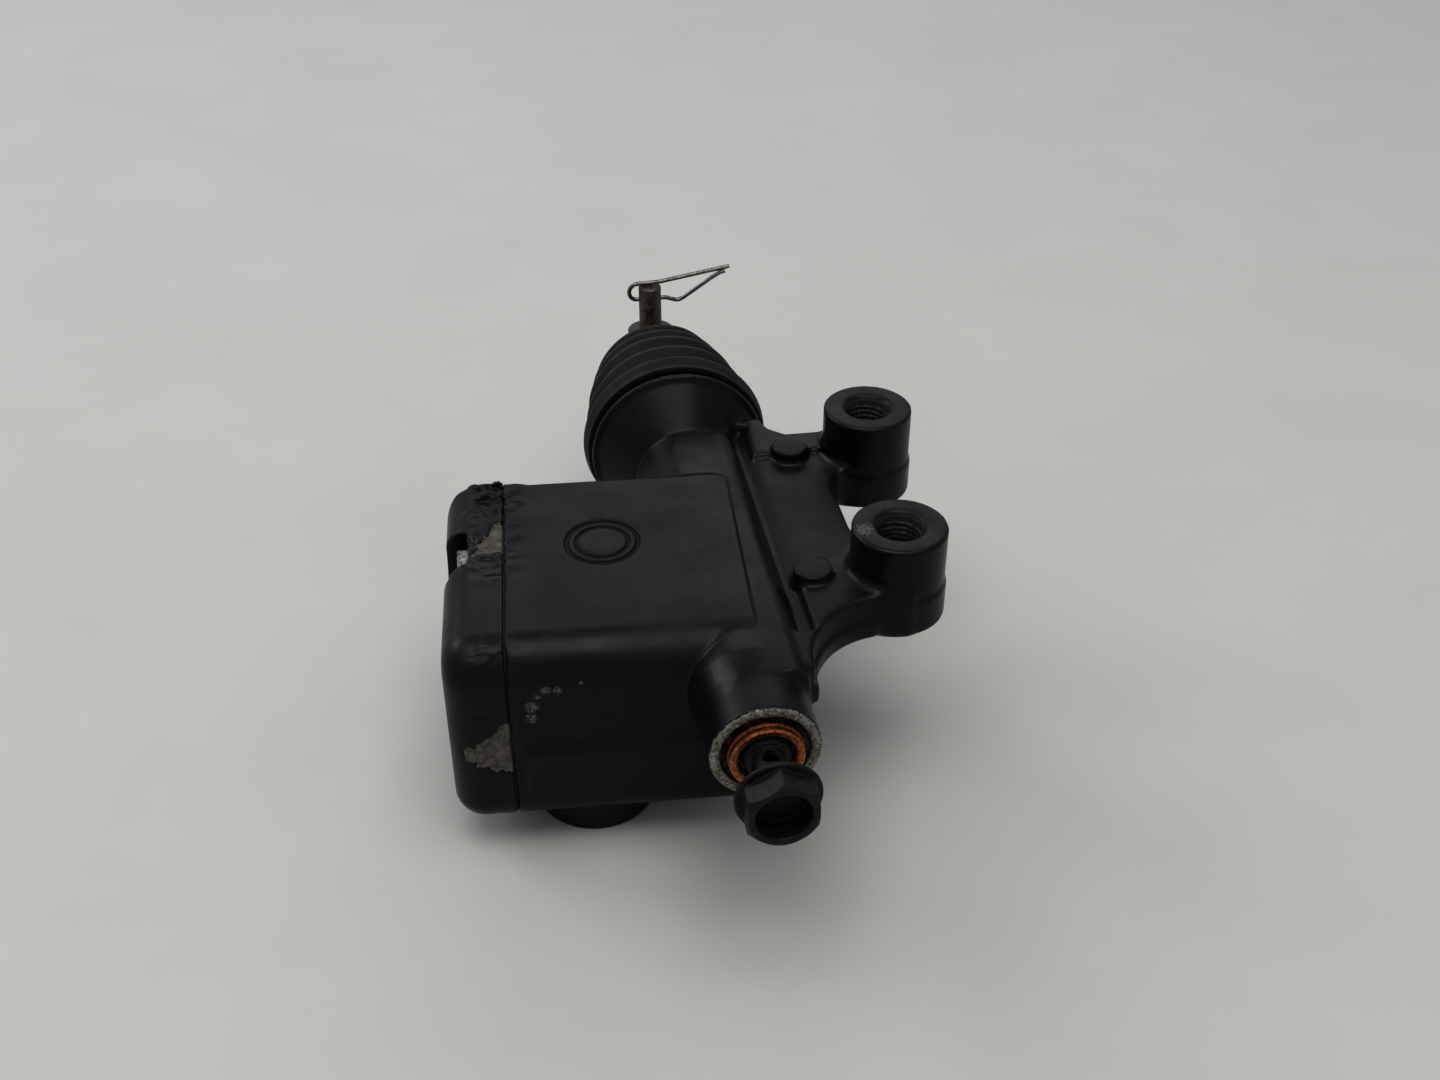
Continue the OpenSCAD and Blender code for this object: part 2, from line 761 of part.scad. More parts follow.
module lock_nut() {
    color(zinc)
        on_bore(nut_y)
            difference() {
                intersection() {
                    cylinder(h = nut_t, r = nut_flats / sqrt(3), $fn = 6);
                    cylinder(h = nut_t, r1 = nut_flats / 2 + 0.5, r2 = nut_flats / 2 + 4);
                    translate([0, 0, -3.5])
                        cylinder(h = nut_t + 3.5, r1 = nut_flats / 2 + 4, r2 = nut_flats / 2 + 0.5);
                }
                translate([0, 0, -cut])
                    cylinder(h = nut_t + 2 * cut, r = rod_r + seat_gap);
            }
}

module clevis() {
    color(rust)
        difference() {
            union() {
                translate([bore_x - fork_half, fork_y, bore_z - fork_width / 2])
                    cube([2 * fork_half, pin_y - fork_y, fork_width]);
                translate([bore_x, pin_y, bore_z - fork_width / 2])
                    cylinder(h = fork_width, r = fork_half);
            }
            translate([bore_x - fork_half - cut, fork_y + fork_base, bore_z - fork_gap / 2])
                cube([2 * fork_half + 2 * cut, 30, fork_gap]);
            translate([bore_x, pin_y, bore_z - fork_width / 2 - cut])
                cylinder(h = fork_width + 2 * cut, r = pin_r + running);
            on_bore(fork_y - cut)
                cylinder(h = fork_base + 2 * cut, r = rod_r + seat_gap);
        }
}

module clevis_pin() {
    color(rust)
        difference() {
            translate([bore_x, pin_y, 0]) {
                translate([0, 0, pin_head_z - pin_head_t])
                    cylinder(h = pin_head_t, r = pin_head_r);
                translate([0, 0, pin_head_z - 0.1])
                    cylinder(h = pin_length - 0.5, r = pin_r);
                translate([0, 0, pin_top_z - 0.6])
                    cylinder(h = 0.6, r1 = pin_r, r2 = pin_r - 0.6);
            }
            translate([bore_x - pin_r - cut, pin_y, wire_hole_z])
                rotate([0, 90, 0])
                    cylinder(h = pin_d + 2 * cut, r = wire_hole_r);
        }
}

// the hairpin's centre line as [distance from the pin axis, height]
hairpin_path = [[20.6, wire_hole_z + 6.5], [19.2, wire_hole_z + 6.2], [17.1, wire_hole_z + 5],
    [9, wire_hole_z - 0.5], [8, wire_hole_z - 0.95], [7, wire_hole_z - 0.95],
    [5.4, wire_hole_z - 0.4], [4.6, wire_hole_z - 0.1], [3.9, wire_hole_z],
    [-3.6, wire_hole_z], [-4.4, wire_hole_z + 0.15], [-5.1, wire_hole_z + 0.65],
    [-5.5, wire_hole_z + 1.4], [-5.6, wire_hole_z + 2.3], [-5.4, wire_hole_z + 3.2],
    [-4.9, wire_hole_z + 3.9], [-4.1, wire_rest_z - 0.12], [-3, wire_rest_z],
    [0, wire_rest_z + 0.05], [3.1, wire_rest_z + 0.2], [21.7, wire_rest_z + 3.2]];
wire_sides = 12;

// unit direction from a to b
function towards(a, b) = (b - a) / norm(b - a);

// the wire's sideways direction at point i of the path, stretched at a corner
function wire_side(i) =
    let (last = len(hairpin_path) - 1,
        d1 = towards(hairpin_path[max(i - 1, 0)], hairpin_path[max(i, 1)]),
        d2 = towards(hairpin_path[min(i, last - 1)], hairpin_path[min(i + 1, last)]),
        m = (d1 + d2) / norm(d1 + d2))
    [-m[1], m[0]] / (m * d1);

module hairpin_clip() {
    n = wire_sides;
    last = len(hairpin_path) - 1;
    points = [for (i = [0:last], j = [0:n - 1])
        let (p = hairpin_path[i] + wire_side(i) * wire_r * cos(360 * j / n))
        [p[0], wire_r * sin(360 * j / n), p[1]]];
    sides = [for (i = [0:last - 1], j = [0:n - 1])
        [i * n + j, i * n + (j + 1) % n, (i + 1) * n + (j + 1) % n, (i + 1) * n + j]];
    first_end = [for (j = [n - 1:-1:0]) j];
    last_end = [for (j = [0:n - 1]) last * n + j];
    color(steel)
        translate([bore_x, pin_y, 0])
            polyhedron(points, concat(sides, [first_end], [last_end]), convexity = 10);
}

module banjo_bolt() {
    head_y = bolt_flange_y - bolt_flange_t;
    color([0.2, 0.2, 0.2])
        difference() {
            union() {
                bore_turned([[head_y, 0], [head_y, bolt_flange_r - 0.3],
                    [head_y + 0.3, bolt_flange_r], [bolt_flange_y, bolt_flange_r],
                    [bolt_flange_y, bolt_r], [bolt_flange_y + bolt_shoulder, bolt_r],
                    [bolt_flange_y + bolt_shoulder, bolt_neck_r],
                    [bolt_flange_y + bolt_shoulder + bolt_neck, bolt_neck_r],
                    [bolt_flange_y + bolt_shoulder + bolt_neck, bolt_r],
                    [bolt_tip_y - 0.8, bolt_r], [bolt_tip_y, bolt_r - 0.8], [bolt_tip_y, 0]]);
                on_bore(head_y - bolt_head)
                    intersection() {
                        rotate([0, 0, 30])
                            cylinder(h = bolt_head + bolt_flange_t / 2,
                                r = bolt_flats / sqrt(3), $fn = 6);
                        cylinder(h = bolt_head + bolt_flange_t / 2, r1 = bolt_flats / 2 + 0.2,
                            r2 = bolt_flats / 2 + 0.2 + bolt_head * 1.7);
                    }
            }
            on_bore(head_y - bolt_head - cut)
                cylinder(h = bolt_recess + cut, r = bolt_recess_r);
            on_bore(bolt_flange_y + bolt_shoulder + 1.5)
                cylinder(h = 40, r = bolt_drill_r);
            translate([bore_x, bolt_flange_y + bolt_shoulder + 4.6, bore_z - 10])
                cylinder(h = 20, r = cross_hole_r);
            translate([bore_x - 10, bolt_flange_y + bolt_shoulder + 4.6, bore_z])
                rotate([0, 90, 0])
                    cylinder(h = 20, r = cross_hole_r);
        }
}

// a crush washer with rounded faces, its inner face at y
module crush_washer(y, outer) {
    bore_turned([[y, crush_hole_r + 0.4], [y - 0.4, crush_hole_r],
        [y - crush_t + 0.4, crush_hole_r], [y - crush_t, crush_hole_r + 0.4],
        [y - crush_t, outer - 0.4], [y - crush_t + 0.4, outer], [y - 0.4, outer],
        [y, outer - 0.4]]);
}

module inner_crush_washer() {
    color(copper)
        crush_washer(port_y + port_seat_depth - seat_gap, crush_r);
}

module outer_crush_washer() {
    color(copper)
        crush_washer(port_y + port_seat_depth - crush_t - 2 * seat_gap, crush_r - crush_step);
}

cylinder_body();
reservoir_cover();
cover_screws();
diaphragm_plate();
diaphragm();
sight_glass_lens();
sight_glass_seal();
sight_glass_ring();
piston();
primary_cup();
secondary_cup();
spring_seat();
return_spring();
push_rod();
retaining_washer();
circlip();
dust_boot();
lock_nut();
clevis();
clevis_pin();
hairpin_clip();
banjo_bolt();
inner_crush_washer();
outer_crush_washer();
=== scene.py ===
# Looks of the brake master cylinder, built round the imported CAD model.
# Lengths in the shape code are millimetres in the part's frame; meshes are written in metres.
import math

import bmesh
import bpy
import numpy as np
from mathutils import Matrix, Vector


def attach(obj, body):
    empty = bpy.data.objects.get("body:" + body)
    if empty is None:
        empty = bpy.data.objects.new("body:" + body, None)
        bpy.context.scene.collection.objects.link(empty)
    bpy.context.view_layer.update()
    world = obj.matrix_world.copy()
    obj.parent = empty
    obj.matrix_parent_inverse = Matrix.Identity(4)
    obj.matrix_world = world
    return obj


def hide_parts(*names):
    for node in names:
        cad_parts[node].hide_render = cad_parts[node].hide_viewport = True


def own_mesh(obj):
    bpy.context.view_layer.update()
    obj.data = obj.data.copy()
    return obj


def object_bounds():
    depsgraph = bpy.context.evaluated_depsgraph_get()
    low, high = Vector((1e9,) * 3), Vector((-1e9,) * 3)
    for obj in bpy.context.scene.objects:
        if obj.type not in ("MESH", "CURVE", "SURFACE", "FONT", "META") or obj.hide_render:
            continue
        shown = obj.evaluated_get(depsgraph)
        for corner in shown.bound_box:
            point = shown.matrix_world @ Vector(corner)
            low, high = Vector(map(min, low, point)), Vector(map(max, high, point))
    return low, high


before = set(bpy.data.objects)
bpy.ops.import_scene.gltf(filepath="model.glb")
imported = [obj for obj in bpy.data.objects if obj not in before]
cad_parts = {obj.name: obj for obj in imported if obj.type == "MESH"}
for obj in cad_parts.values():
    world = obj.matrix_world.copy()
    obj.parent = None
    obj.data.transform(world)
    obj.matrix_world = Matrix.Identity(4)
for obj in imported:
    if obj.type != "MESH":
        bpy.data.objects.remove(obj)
CAD_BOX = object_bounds()
MM = 0.001

# shared places and sizes of the CAD model, in mm
BX, BZ = -40.5, -20.4
BORE_R = 7.0
PORT_Y, PORT_SEAT_R = -69.0, 9.2
FLOOR_Y = -46.0
STOP_Y = 27.0
COLLAR_Y, COLLAR_END = 45.0, 52.7
COLLAR_R = 21.8
BARREL_R, BARREL_TOP = 11.6, -9.2
BOSS_X, BOSS_Y = 2.613, 24.863
BOSS_R, BOSS_HEIGHT = 10.5, 22.0
HOLE_R = 5.0
TURN = math.radians(3.8)
TANK_X0, TANK_X1 = -86.3, -34.5
TANK_Y0, TANK_Y1 = -51.3, 13.5
TANK_Z0, TANK_Z1 = -54.3, -8.3
TANK_WALL = 3.0
COVER_X0, COVER_X1 = -99.9, -86.8
SCREW_Y, SCREW_ZS = -11.3, (-48.6, -14.0)
POCKET_R, COLUMN_R = 8.0, 9.6
RING_X, RING_Y = -64.9, -12.6
RING_AT = (RING_X * math.cos(TURN) + RING_Y * math.sin(TURN),
           -RING_X * math.sin(TURN) + RING_Y * math.cos(TURN))
RING_RADII = (7.9, 5.8)
GLASS_X, GLASS_Y, GLASS_Z = -69.3, -34.0, -61.9
GLASS_R = 13.5
HEAD_Y, FLANGE_Y = -87.5, -82.0
BOLT_R, BOLT_PITCH, BOLT_HEX = 4.9, 1.25, 7.0
CROSS_HOLE_Y = -73.6
BOOT_Y0, BOOT_LENGTH = 53.2, 29.8

# outline of the bare patch on the cover's top face, in the reservoir's frame
PATCH = [(-88.6, -3.3), (-84.0, -3.3), (-84.0, -14.0), (-91.8, -14.8), (-93.8, -16.7), (-93.6, -13.7),
         (-91.2, -10.0), (-90.5, -7.3)]
# places of paint chips on the casting: x, y, z, radius
CHIPS = [(-10.6, -25.3, 0.0, 2.2), (-9.0, -25.0, 0.0, 1.3), (-85.0, -45.8, -21.6, 1.5),
         (-85.2, -45.8, -24.6, 1.2), (-83.9, -45.9, -19.0, 0.8), (-81.9, -46.0, -17.3, 1.1),
         (-79.6, -46.1, -17.6, 0.9), (-74.5, -46.4, -16.0, 0.5)]


# ---------------------------------------------------------------- distance fields
def smin(a, b, k):
    """Union with a fillet of about 0.6 k."""
    h = np.clip(1 - np.abs(a - b) / k, 0, 1)
    return np.minimum(a, b) - h * h * (k * 0.25)


def smax(a, b, k):
    return -smin(-a, -b, k)


def cut_away(a, b, k=0.0):
    return smax(a, -b, k) if k else np.maximum(a, -b)


def joined(u, v, r):
    """Where both distances are inside, with the edge between them rounded by r."""
    inside = np.minimum(np.maximum(u + r, v + r), 0)
    return inside + np.hypot(np.maximum(u + r, 0), np.maximum(v + r, 0)) - r


def between(t, lo, hi):
    return np.maximum(lo - t, t - hi)


def box2(u, v, u0, u1, v0, v1, r):
    r = np.asarray(r, dtype=np.float32)
    qu = np.abs(u - (u0 + u1) / 2) - (u1 - u0) / 2 + r
    qv = np.abs(v - (v0 + v1) / 2) - (v1 - v0) / 2 + r
    return np.minimum(np.maximum(qu, qv), 0) + np.hypot(np.maximum(qu, 0), np.maximum(qv, 0)) - r


def polygon(u, v, points):
    """Signed distance to a closed outline, negative inside."""
    u, v = np.broadcast_arrays(u, v)
    best = np.full(u.shape, 1e9)
    inside = np.zeros(u.shape, bool)
    for (ax, ay), (bx, by) in zip(points, points[1:] + points[:1]):
        ex, ey = bx - ax, by - ay
        t = np.clip(((u - ax) * ex + (v - ay) * ey) / max(ex * ex + ey * ey, 1e-9), 0, 1)
        best = np.minimum(best, (u - ax - t * ex) ** 2 + (v - ay - t * ey) ** 2)
        crosses = (ay > v) != (by > v)
        with np.errstate(divide="ignore", invalid="ignore"):
            left = u < (bx - ax) * (v - ay) / (by - ay) + ax
        inside ^= crosses & left
    return np.where(inside, -1, 1) * np.sqrt(best)


def turned(grid, points, x=BX, z=BZ):
    """Distance to a solid of revolution about the bore, from [y, r] points."""
    gx, gy, gz = grid
    radius = np.hypot(gx - x, gz - z)
    rs = np.linspace(0, float(radius.max()) + 1, 600)
    table = polygon(gy.reshape(-1, 1), rs.reshape(1, -1), points)
    flat = radius.reshape(-1)
    out = np.empty((gx.shape[0], gy.size, gz.shape[2]), np.float32)
    for j in range(gy.size):
        out[:, j, :] = np.interp(flat, rs, table[j]).reshape(gx.shape[0], gz.shape[2])
    return out


def lattice(seed, size=64):
    return np.random.default_rng(seed).random((size, size, size)).astype(np.float32)


def noise(x, y, z, scale, seed=1):
    """Smooth value noise from 0 to 1, with features of about scale mm."""
    table = lattice(seed)
    n = table.shape[0]
    x, y, z = np.broadcast_arrays(x / scale, y / scale, z / scale)
    i, j, k = (np.floor(c).astype(np.int64) for c in (x, y, z))
    f = [c - np.floor(c) for c in (x, y, z)]
    f = [c * c * (3 - 2 * c) for c in f]
    out = 0.0
    for a in (0, 1):
        for b in (0, 1):
            for c in (0, 1):
                w = (f[0] if a else 1 - f[0]) * (f[1] if b else 1 - f[1]) * (f[2] if c else 1 - f[2])
                out = out + w * table[(i + a) % n, (j + b) % n, (k + c) % n]
    return out


def step01(t, lo, hi):
    s = np.clip((t - lo) / (hi - lo), 0, 1)
    return s * s * (3 - 2 * s)


def make_grid(lo, hi, h):
    axes = [np.arange(a, b + h, h, dtype=np.float32) for a, b in zip(lo, hi)]
    return (axes[0].reshape(-1, 1, 1), axes[1].reshape(1, -1, 1), axes[2].reshape(1, 1, -1))


def surface(field, lo, h):
    """Vertices and quads of the zero surface, by naive surface nets."""
    f = np.ascontiguousarray(field, dtype=np.float32)
    s = f < 0
    n = [d - 1 for d in f.shape]
    corners = [(a, b, c) for a in (0, 1) for b in (0, 1) for c in (0, 1)]
    count = np.zeros(n, np.int8)
    for a, b, c in corners:
        count += s[a:a + n[0], b:b + n[1], c:c + n[2]]
    active = np.argwhere((count > 0) & (count < 8))
    index = np.full(n, -1, np.int64)
    index[tuple(active.T)] = np.arange(len(active))
    total = np.zeros((len(active), 3))
    hits = np.zeros(len(active))
    for p in corners:
        for axis in range(3):
            if p[axis]:
                continue
            q = list(p)
            q[axis] = 1
            fa = f[tuple((active + p).T)]
            fb = f[tuple((active + q).T)]
            crossing = (fa < 0) != (fb < 0)
            t = np.where(crossing, fa / np.where(crossing, fa - fb, 1), 0)
            place = np.array(p, float) + np.outer(t, [float(axis == k) for k in range(3)])
            total += place * crossing[:, None]
            hits += crossing
    verts = active + total / hits[:, None]
    quads = []
    for axis in range(3):
        b, c = (axis + 1) % 3, (axis + 2) % 3
        lo_side = [slice(None)] * 3
        hi_side = [slice(None)] * 3
        lo_side[axis], hi_side[axis] = slice(0, -1), slice(1, None)
        change = s[tuple(lo_side)] != s[tuple(hi_side)]
        edges = np.argwhere(change)
        keep = (edges[:, b] > 0) & (edges[:, c] > 0)
        keep &= (edges[:, b] < f.shape[b] - 1) & (edges[:, c] < f.shape[c] - 1)
        edges = edges[keep]
        ring = []
        for db, dc in ((1, 1), (0, 1), (0, 0), (1, 0)):
            cell = edges.copy()
            cell[:, b] -= db
            cell[:, c] -= dc
            ring.append(index[tuple(cell.T)])
        quad = np.stack(ring, 1)
        inner = s[tuple(edges.T)]
        quad[~inner] = quad[~inner][:, ::-1]
        quads.append(quad)
    return verts * h + np.array(lo), np.concatenate(quads)


def mesh_object(name, verts, faces, smooth=True):
    """A mesh object in metres from vertices in mm."""
    me = bpy.data.meshes.new(name)
    verts = np.clip(np.asarray(verts, np.float32) * MM, CAD_BOX[0], CAD_BOX[1])
    if isinstance(faces, np.ndarray):
        width = faces.shape[1]
        me.vertices.add(len(verts))
        me.vertices.foreach_set("co", verts.ravel())
        me.loops.add(faces.size)
        me.loops.foreach_set("vertex_index", faces.astype(np.int32).ravel())
        me.polygons.add(len(faces))
        me.polygons.foreach_set("loop_start", np.arange(0, faces.size, width, dtype=np.int32))
        me.update(calc_edges=True)
    else:
        me.from_pydata([tuple(map(float, v)) for v in verts], [], faces)
    me.validate()
    me.polygons.foreach_set("use_smooth", [smooth] * len(me.polygons))
    ob = bpy.data.objects.new(name, me)
    bpy.context.scene.collection.objects.link(ob)
    return ob
def paint_attribute(ob, name, values):
    layer = ob.data.attributes.new(name, "FLOAT", "POINT")
    layer.data.foreach_set("value", np.asarray(values, np.float32))


def curvature(verts, quads):
    """How far each vertex stands out from its neighbours along its normal, in mm."""
    a = np.concatenate([quads[:, k] for k in range(4)])
    b = np.concatenate([quads[:, (k + 1) % 4] for k in range(4)])
    total = np.zeros_like(verts)
    hits = np.zeros(len(verts))
    for i, j in ((a, b), (b, a)):
        for axis in range(3):
            total[:, axis] += np.bincount(i, verts[j, axis], len(verts))
        hits += np.bincount(i, minlength=len(verts))
    offset = verts - total / np.maximum(hits, 1)[:, None]
    face = np.cross(verts[quads[:, 2]] - verts[quads[:, 0]], verts[quads[:, 3]] - verts[quads[:, 1]])
    normal = np.zeros_like(verts)
    for k in range(4):
        for axis in range(3):
            normal[:, axis] += np.bincount(quads[:, k], face[:, axis], len(verts))
    normal /= np.maximum(np.linalg.norm(normal, axis=1), 1e-9)[:, None]
    bend = (offset * normal).sum(1)
    for _ in range(2):
        spread = np.bincount(a, bend[b], len(verts)) + np.bincount(b, bend[a], len(verts))
        bend = 0.5 * bend + 0.5 * spread / np.maximum(hits, 1)
    return bend


def tank_frame(gx, gy):
    c, s = math.cos(TURN), math.sin(TURN)
    return gx * c - gy * s, gx * s + gy * c


def tank_section(ty, gz, inset=0.0):
    top = gz > (TANK_Z0 + TANK_Z1) / 2
    near = ty < (TANK_Y0 + TANK_Y1) / 2
    radius = np.where(top, np.where(near, 9.0, 2.0), 6.0)
    radius = np.maximum(radius - inset, 0.5)
    return box2(ty, gz, TANK_Y0 + inset, TANK_Y1 - inset, TANK_Z0 + inset, TANK_Z1 - inset, radius)


# ---------------------------------------------------------------- paint damage near the cover joint
def torn(tx, ty, gz, cover):
    """How far the paint is lifted or lost round the parting line: relief in mm and share of bare metal."""
    reach = np.abs(tx - (TANK_X0 - 0.25))
    top = step01(gz, -22.0, -10.0)
    far = step01(ty, -30.0, -8.0)
    corner = step01(ty, 0.0, 8.0)
    near = step01(-ty, 40.0, 47.0)
    width = 11.0 if cover else 6.0
    band = step01(width - reach, 0.0, width * 0.7)
    ridges = noise(tx * 0.45, ty, gz, 1.35, 3) * 0.6 + noise(tx * 0.6, ty, gz, 0.7, 4) * 0.4
    blisters = noise(tx, ty, gz, 2.6, 5)
    amount = band * np.maximum(top * far * (1 + 0.8 * corner), 0.35 * near * step01(gz, -50.0, -20.0))
    relief = amount * (step01(ridges, 0.45, 0.70) * 0.55 + step01(blisters, 0.5, 0.8) * 0.5)
    if not cover:
        return relief * 0.6, np.zeros_like(relief)
    ragged = (noise(tx, ty, gz, 1.6, 6) - 0.5) * 1.6 + (noise(tx, ty, gz, 0.7, 7) - 0.5) * 0.9
    along = TANK_X0 - 0.5 - tx
    patch_far = np.maximum(polygon(tx, ty, PATCH) + ragged, -16.0 - gz)
    low = np.abs(gz + 32.5 + along * 0.2) - 6.6 + along * 0.55 + ragged * 1.8
    patch_near = np.maximum(np.maximum(low, along - 10.0 + ragged), ty + 42.0)
    bare = step01(-np.minimum(patch_far, patch_near), -0.15, 0.25)
    return relief * (1 - bare) - bare * 0.3, bare


# ---------------------------------------------------------------- the casting
def carved(name, body, lo, h, triangles, edge_gain=1.0):
    """A mesh from a field, with its edge attribute, thinned to about the given number of triangles."""
    verts, quads = surface(body, lo, h)
    ob = mesh_object(name, verts, quads)
    paint_attribute(ob, "edge", curvature(verts, quads) * edge_gain)
    thin = ob.modifiers.new("thin", "DECIMATE")
    thin.ratio = min(1.0, triangles / (2 * len(quads)))
    return ob, verts


def from_boss(gx, gy, side):
    """Distance from the axis of one mounting boss; side is -1 for the near one and 1 for the far one."""
    return np.hypot(gx - side * BOSS_X, gy - side * BOSS_Y)


def screw_column(ty, gz, z, r):
    """The column round a cover screw, joined to the wall above or below it."""
    column = np.hypot(ty - SCREW_Y, gz - z) - r
    reach_up = np.maximum(np.abs(ty - SCREW_Y) - r, (z - gz) if z > -30 else (gz - z))
    return np.minimum(column, reach_up)


def barrel_field(grid):
    gx, gy, gz = grid
    barrel = turned(grid, [
        (PORT_Y, 0), (PORT_Y, 11.1), (PORT_Y + 0.5, 11.5), (PORT_Y + 8, 11.5), (PORT_Y + 12, 11.7),
        (PORT_Y + 15, 12.2), (PORT_Y + 18, 12.5), (PORT_Y + 20, 12.4), (PORT_Y + 25, BARREL_R),
        (35, BARREL_R), (44.2, 20.3), (COLLAR_Y, COLLAR_R),
        (46.3, COLLAR_R), (46.3, 19.6), (50.7, 19.6), (50.7, 21.1), (52.1, 21.1), (COLLAR_END, 20.5),
        (COLLAR_END, 0)])
    flank = box2(gx, gz, BX - 6, -29.0, BZ - 6, BARREL_TOP, 4.5)
    flank = joined(flank, between(gy, -58.0, 36.0), 1.0)
    return smin(barrel, flank, 1.2)


def web_field(gx, gy, gz):
    """The plate that carries the bosses, with its open middle, its hollow and the valley by the barrel."""
    web = polygon(gx, gy, [
        (BX, 42), (-21, 42), (-19, BOSS_Y + 12), (-15.5, BOSS_Y + 8.8), (BOSS_X, BOSS_Y + 8.4),
        (BOSS_X + 2, BOSS_Y), (-BOSS_X + 2, -BOSS_Y), (-BOSS_X, -BOSS_Y - BOSS_R),
        (-BOSS_X - 6, -BOSS_Y - BOSS_R), (BX + 14, PORT_Y + 13.5), (BX, PORT_Y + 13.5)])
    slot = box2(gx, gy, -9, 60, -14, 17, 8.0)
    scoop = np.hypot(gx + 8.5, gy + BOSS_Y + 29.7)
    upper = cut_away(cut_away(web, scoop - 19, 0.8), slot, 0.8)
    lower = cut_away(cut_away(web, scoop - 18, 0.8), slot, 0.8)
    plate = joined(upper, between(gz, -21.0, -10.6), 1.2)
    plate = smin(plate, joined(lower, between(gz, -21.0, -16.5), 0.9), 0.8)
    pocket = box2(gx, gy, -36.0, 33.0, -BOSS_Y, BOSS_Y, 2.0)
    plate = cut_away(plate, joined(pocket, -11.8 - gz, 0.8), 1.0)
    valley = np.hypot((gx + 27.4) / 2.6, (gz + 10.4) / 3.2) - 1
    return cut_away(plate, valley + np.maximum(np.abs(gy + 2) - 41, 0), 1.2)


def boss_fields(gx, gy, gz):
    bosses = None
    pads = None
    for side in (-1, 1):
        reach = from_boss(gx, gy, side)
        boss = joined(reach - BOSS_R, between(gz, -BOSS_HEIGHT, 0.0), 0.55)
        foot = joined(reach - BOSS_R - 0.4, between(gz, -BOSS_HEIGHT, -13.4), 0.7)
        boss = smin(boss, foot, 0.8)
        pad = np.hypot(gx - side * BOSS_X + 18.9, gy - side * BOSS_Y) - 4.3
        pad = joined(pad, between(gz, -14.0, -8.8), 0.35)
        bosses = boss if bosses is None else np.minimum(bosses, boss)
        pads = pad if pads is None else np.minimum(pads, pad)
    return bosses, pads


def tank_field(tx, ty, gz, section, glass):
    tank = joined(section, tx - TANK_X1, 0.9)
    tank = smax(tank, box2(tx, ty, TANK_X0 - 20, TANK_X1, TANK_Y0 - 4, TANK_Y1, 4.0), 0.8)
    tank = np.maximum(tank, TANK_X0 - tx)
    ledge_points = [(TANK_Y0 + 1, -31.7), (TANK_Y0, -31.7), (TANK_Y0 - 1.3, -34.1), (TANK_Y0, -48.3),
                    (TANK_Y0 + 1, -48.3)]
    ledge = joined(polygon(ty, gz, ledge_points), between(tx, TANK_X0 + 2.3, TANK_X1 - 12), 0.35)
    tank = smin(tank, ledge, 0.25)
    return smin(tank, joined(glass - GLASS_R, between(gz, GLASS_Z, -50.0), 0.8), 1.2)


def cut_bores(body, grid):
    gx, gy, gz = grid
    body = np.maximum(body, -turned(grid, [
        (FLOOR_Y, 0), (FLOOR_Y, BORE_R), (STOP_Y, BORE_R), (STOP_Y, 9), (28.4, 9), (28.4, 9.9),
        (29.9, 9.9), (29.9, 9), (40, 9), (46.5, 16.6), (60, 16.6), (60, 0)]))
    body = np.maximum(body, -turned(grid, [
        (-80, 0), (-80, PORT_SEAT_R), (PORT_Y + 1, PORT_SEAT_R), (PORT_Y + 1, 5.1), (PORT_Y + 18.5, 5.1),
        (PORT_Y + 20.5, 2.2), (-44, 2.2), (-44, 0)]))
    for side in (-1, 1):
        flare = np.maximum(gz + 0.9, 0) + np.maximum(-21.2 - gz, 0)
        body = np.maximum(body, -(from_boss(gx, gy, side) - HOLE_R - 0.1 - flare) * 0.8)
    return body


def cut_tank(body, tx, ty, gz, glass):
    inner = tank_section(ty, gz, TANK_WALL)
    inner = joined(inner, tx - (BX - BARREL_R - TANK_WALL), 2.0)
    for z in SCREW_ZS:
        inner = np.maximum(inner, -np.maximum(screw_column(ty, gz, z, 4.6), tx - TANK_X0 - 17))
    body = np.maximum(body, -np.maximum(inner, TANK_X0 - 5 - tx))
    for z in SCREW_ZS:
        body = np.maximum(body, -np.maximum(np.hypot(ty - SCREW_Y, gz - z) - 2.05, tx - TANK_X0 - 12))
    body = np.maximum(body, -np.maximum(glass - 8.0, gz + 45.0))
    body = np.maximum(body, -np.maximum(glass - 10.0, gz + 55.3))
    ring = np.hypot(tx - RING_X, ty - RING_Y)
    for radius, width in zip(RING_RADII, (0.45, 0.40)):
        groove = np.maximum(np.abs(ring - radius) - width, TANK_Z1 - 0.5 - gz)
        body = np.maximum(body, -groove)
    return body


def build_casting():
    h = 0.5
    lo, hi = (-91.0, -71.0, -63.5), (15.0, 54.5, 2.6)
    grid = make_grid(lo, hi, h)
    gx, gy, gz = grid
    tx, ty = tank_frame(gx, gy)
    body = smin(barrel_field(grid), web_field(gx, gy, gz), 1.0)
    bosses, pads = boss_fields(gx, gy, gz)
    body = smin(body, bosses, 3.0)
    body = smin(body, pads, 1.2)
    section = tank_section(ty, gz)
    glass = np.hypot(tx - GLASS_X, ty - GLASS_Y)
    body = smin(body, tank_field(tx, ty, gz, section, glass), 0.9)
    torn_x = -76
    slab = gx.ravel() < torn_x
    relief, _ = torn(tx[slab], ty[slab], gz, False)
    body[slab] -= relief * step01(-section[slab], -1.0, 0.0)
    body = cut_tank(cut_bores(body, grid), tx, ty, gz, glass)
    ob, _ = carved("body_casting", body, lo, h, 190000)
    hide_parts("cylinder_body")
    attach(ob, "cylinder")
    return ob


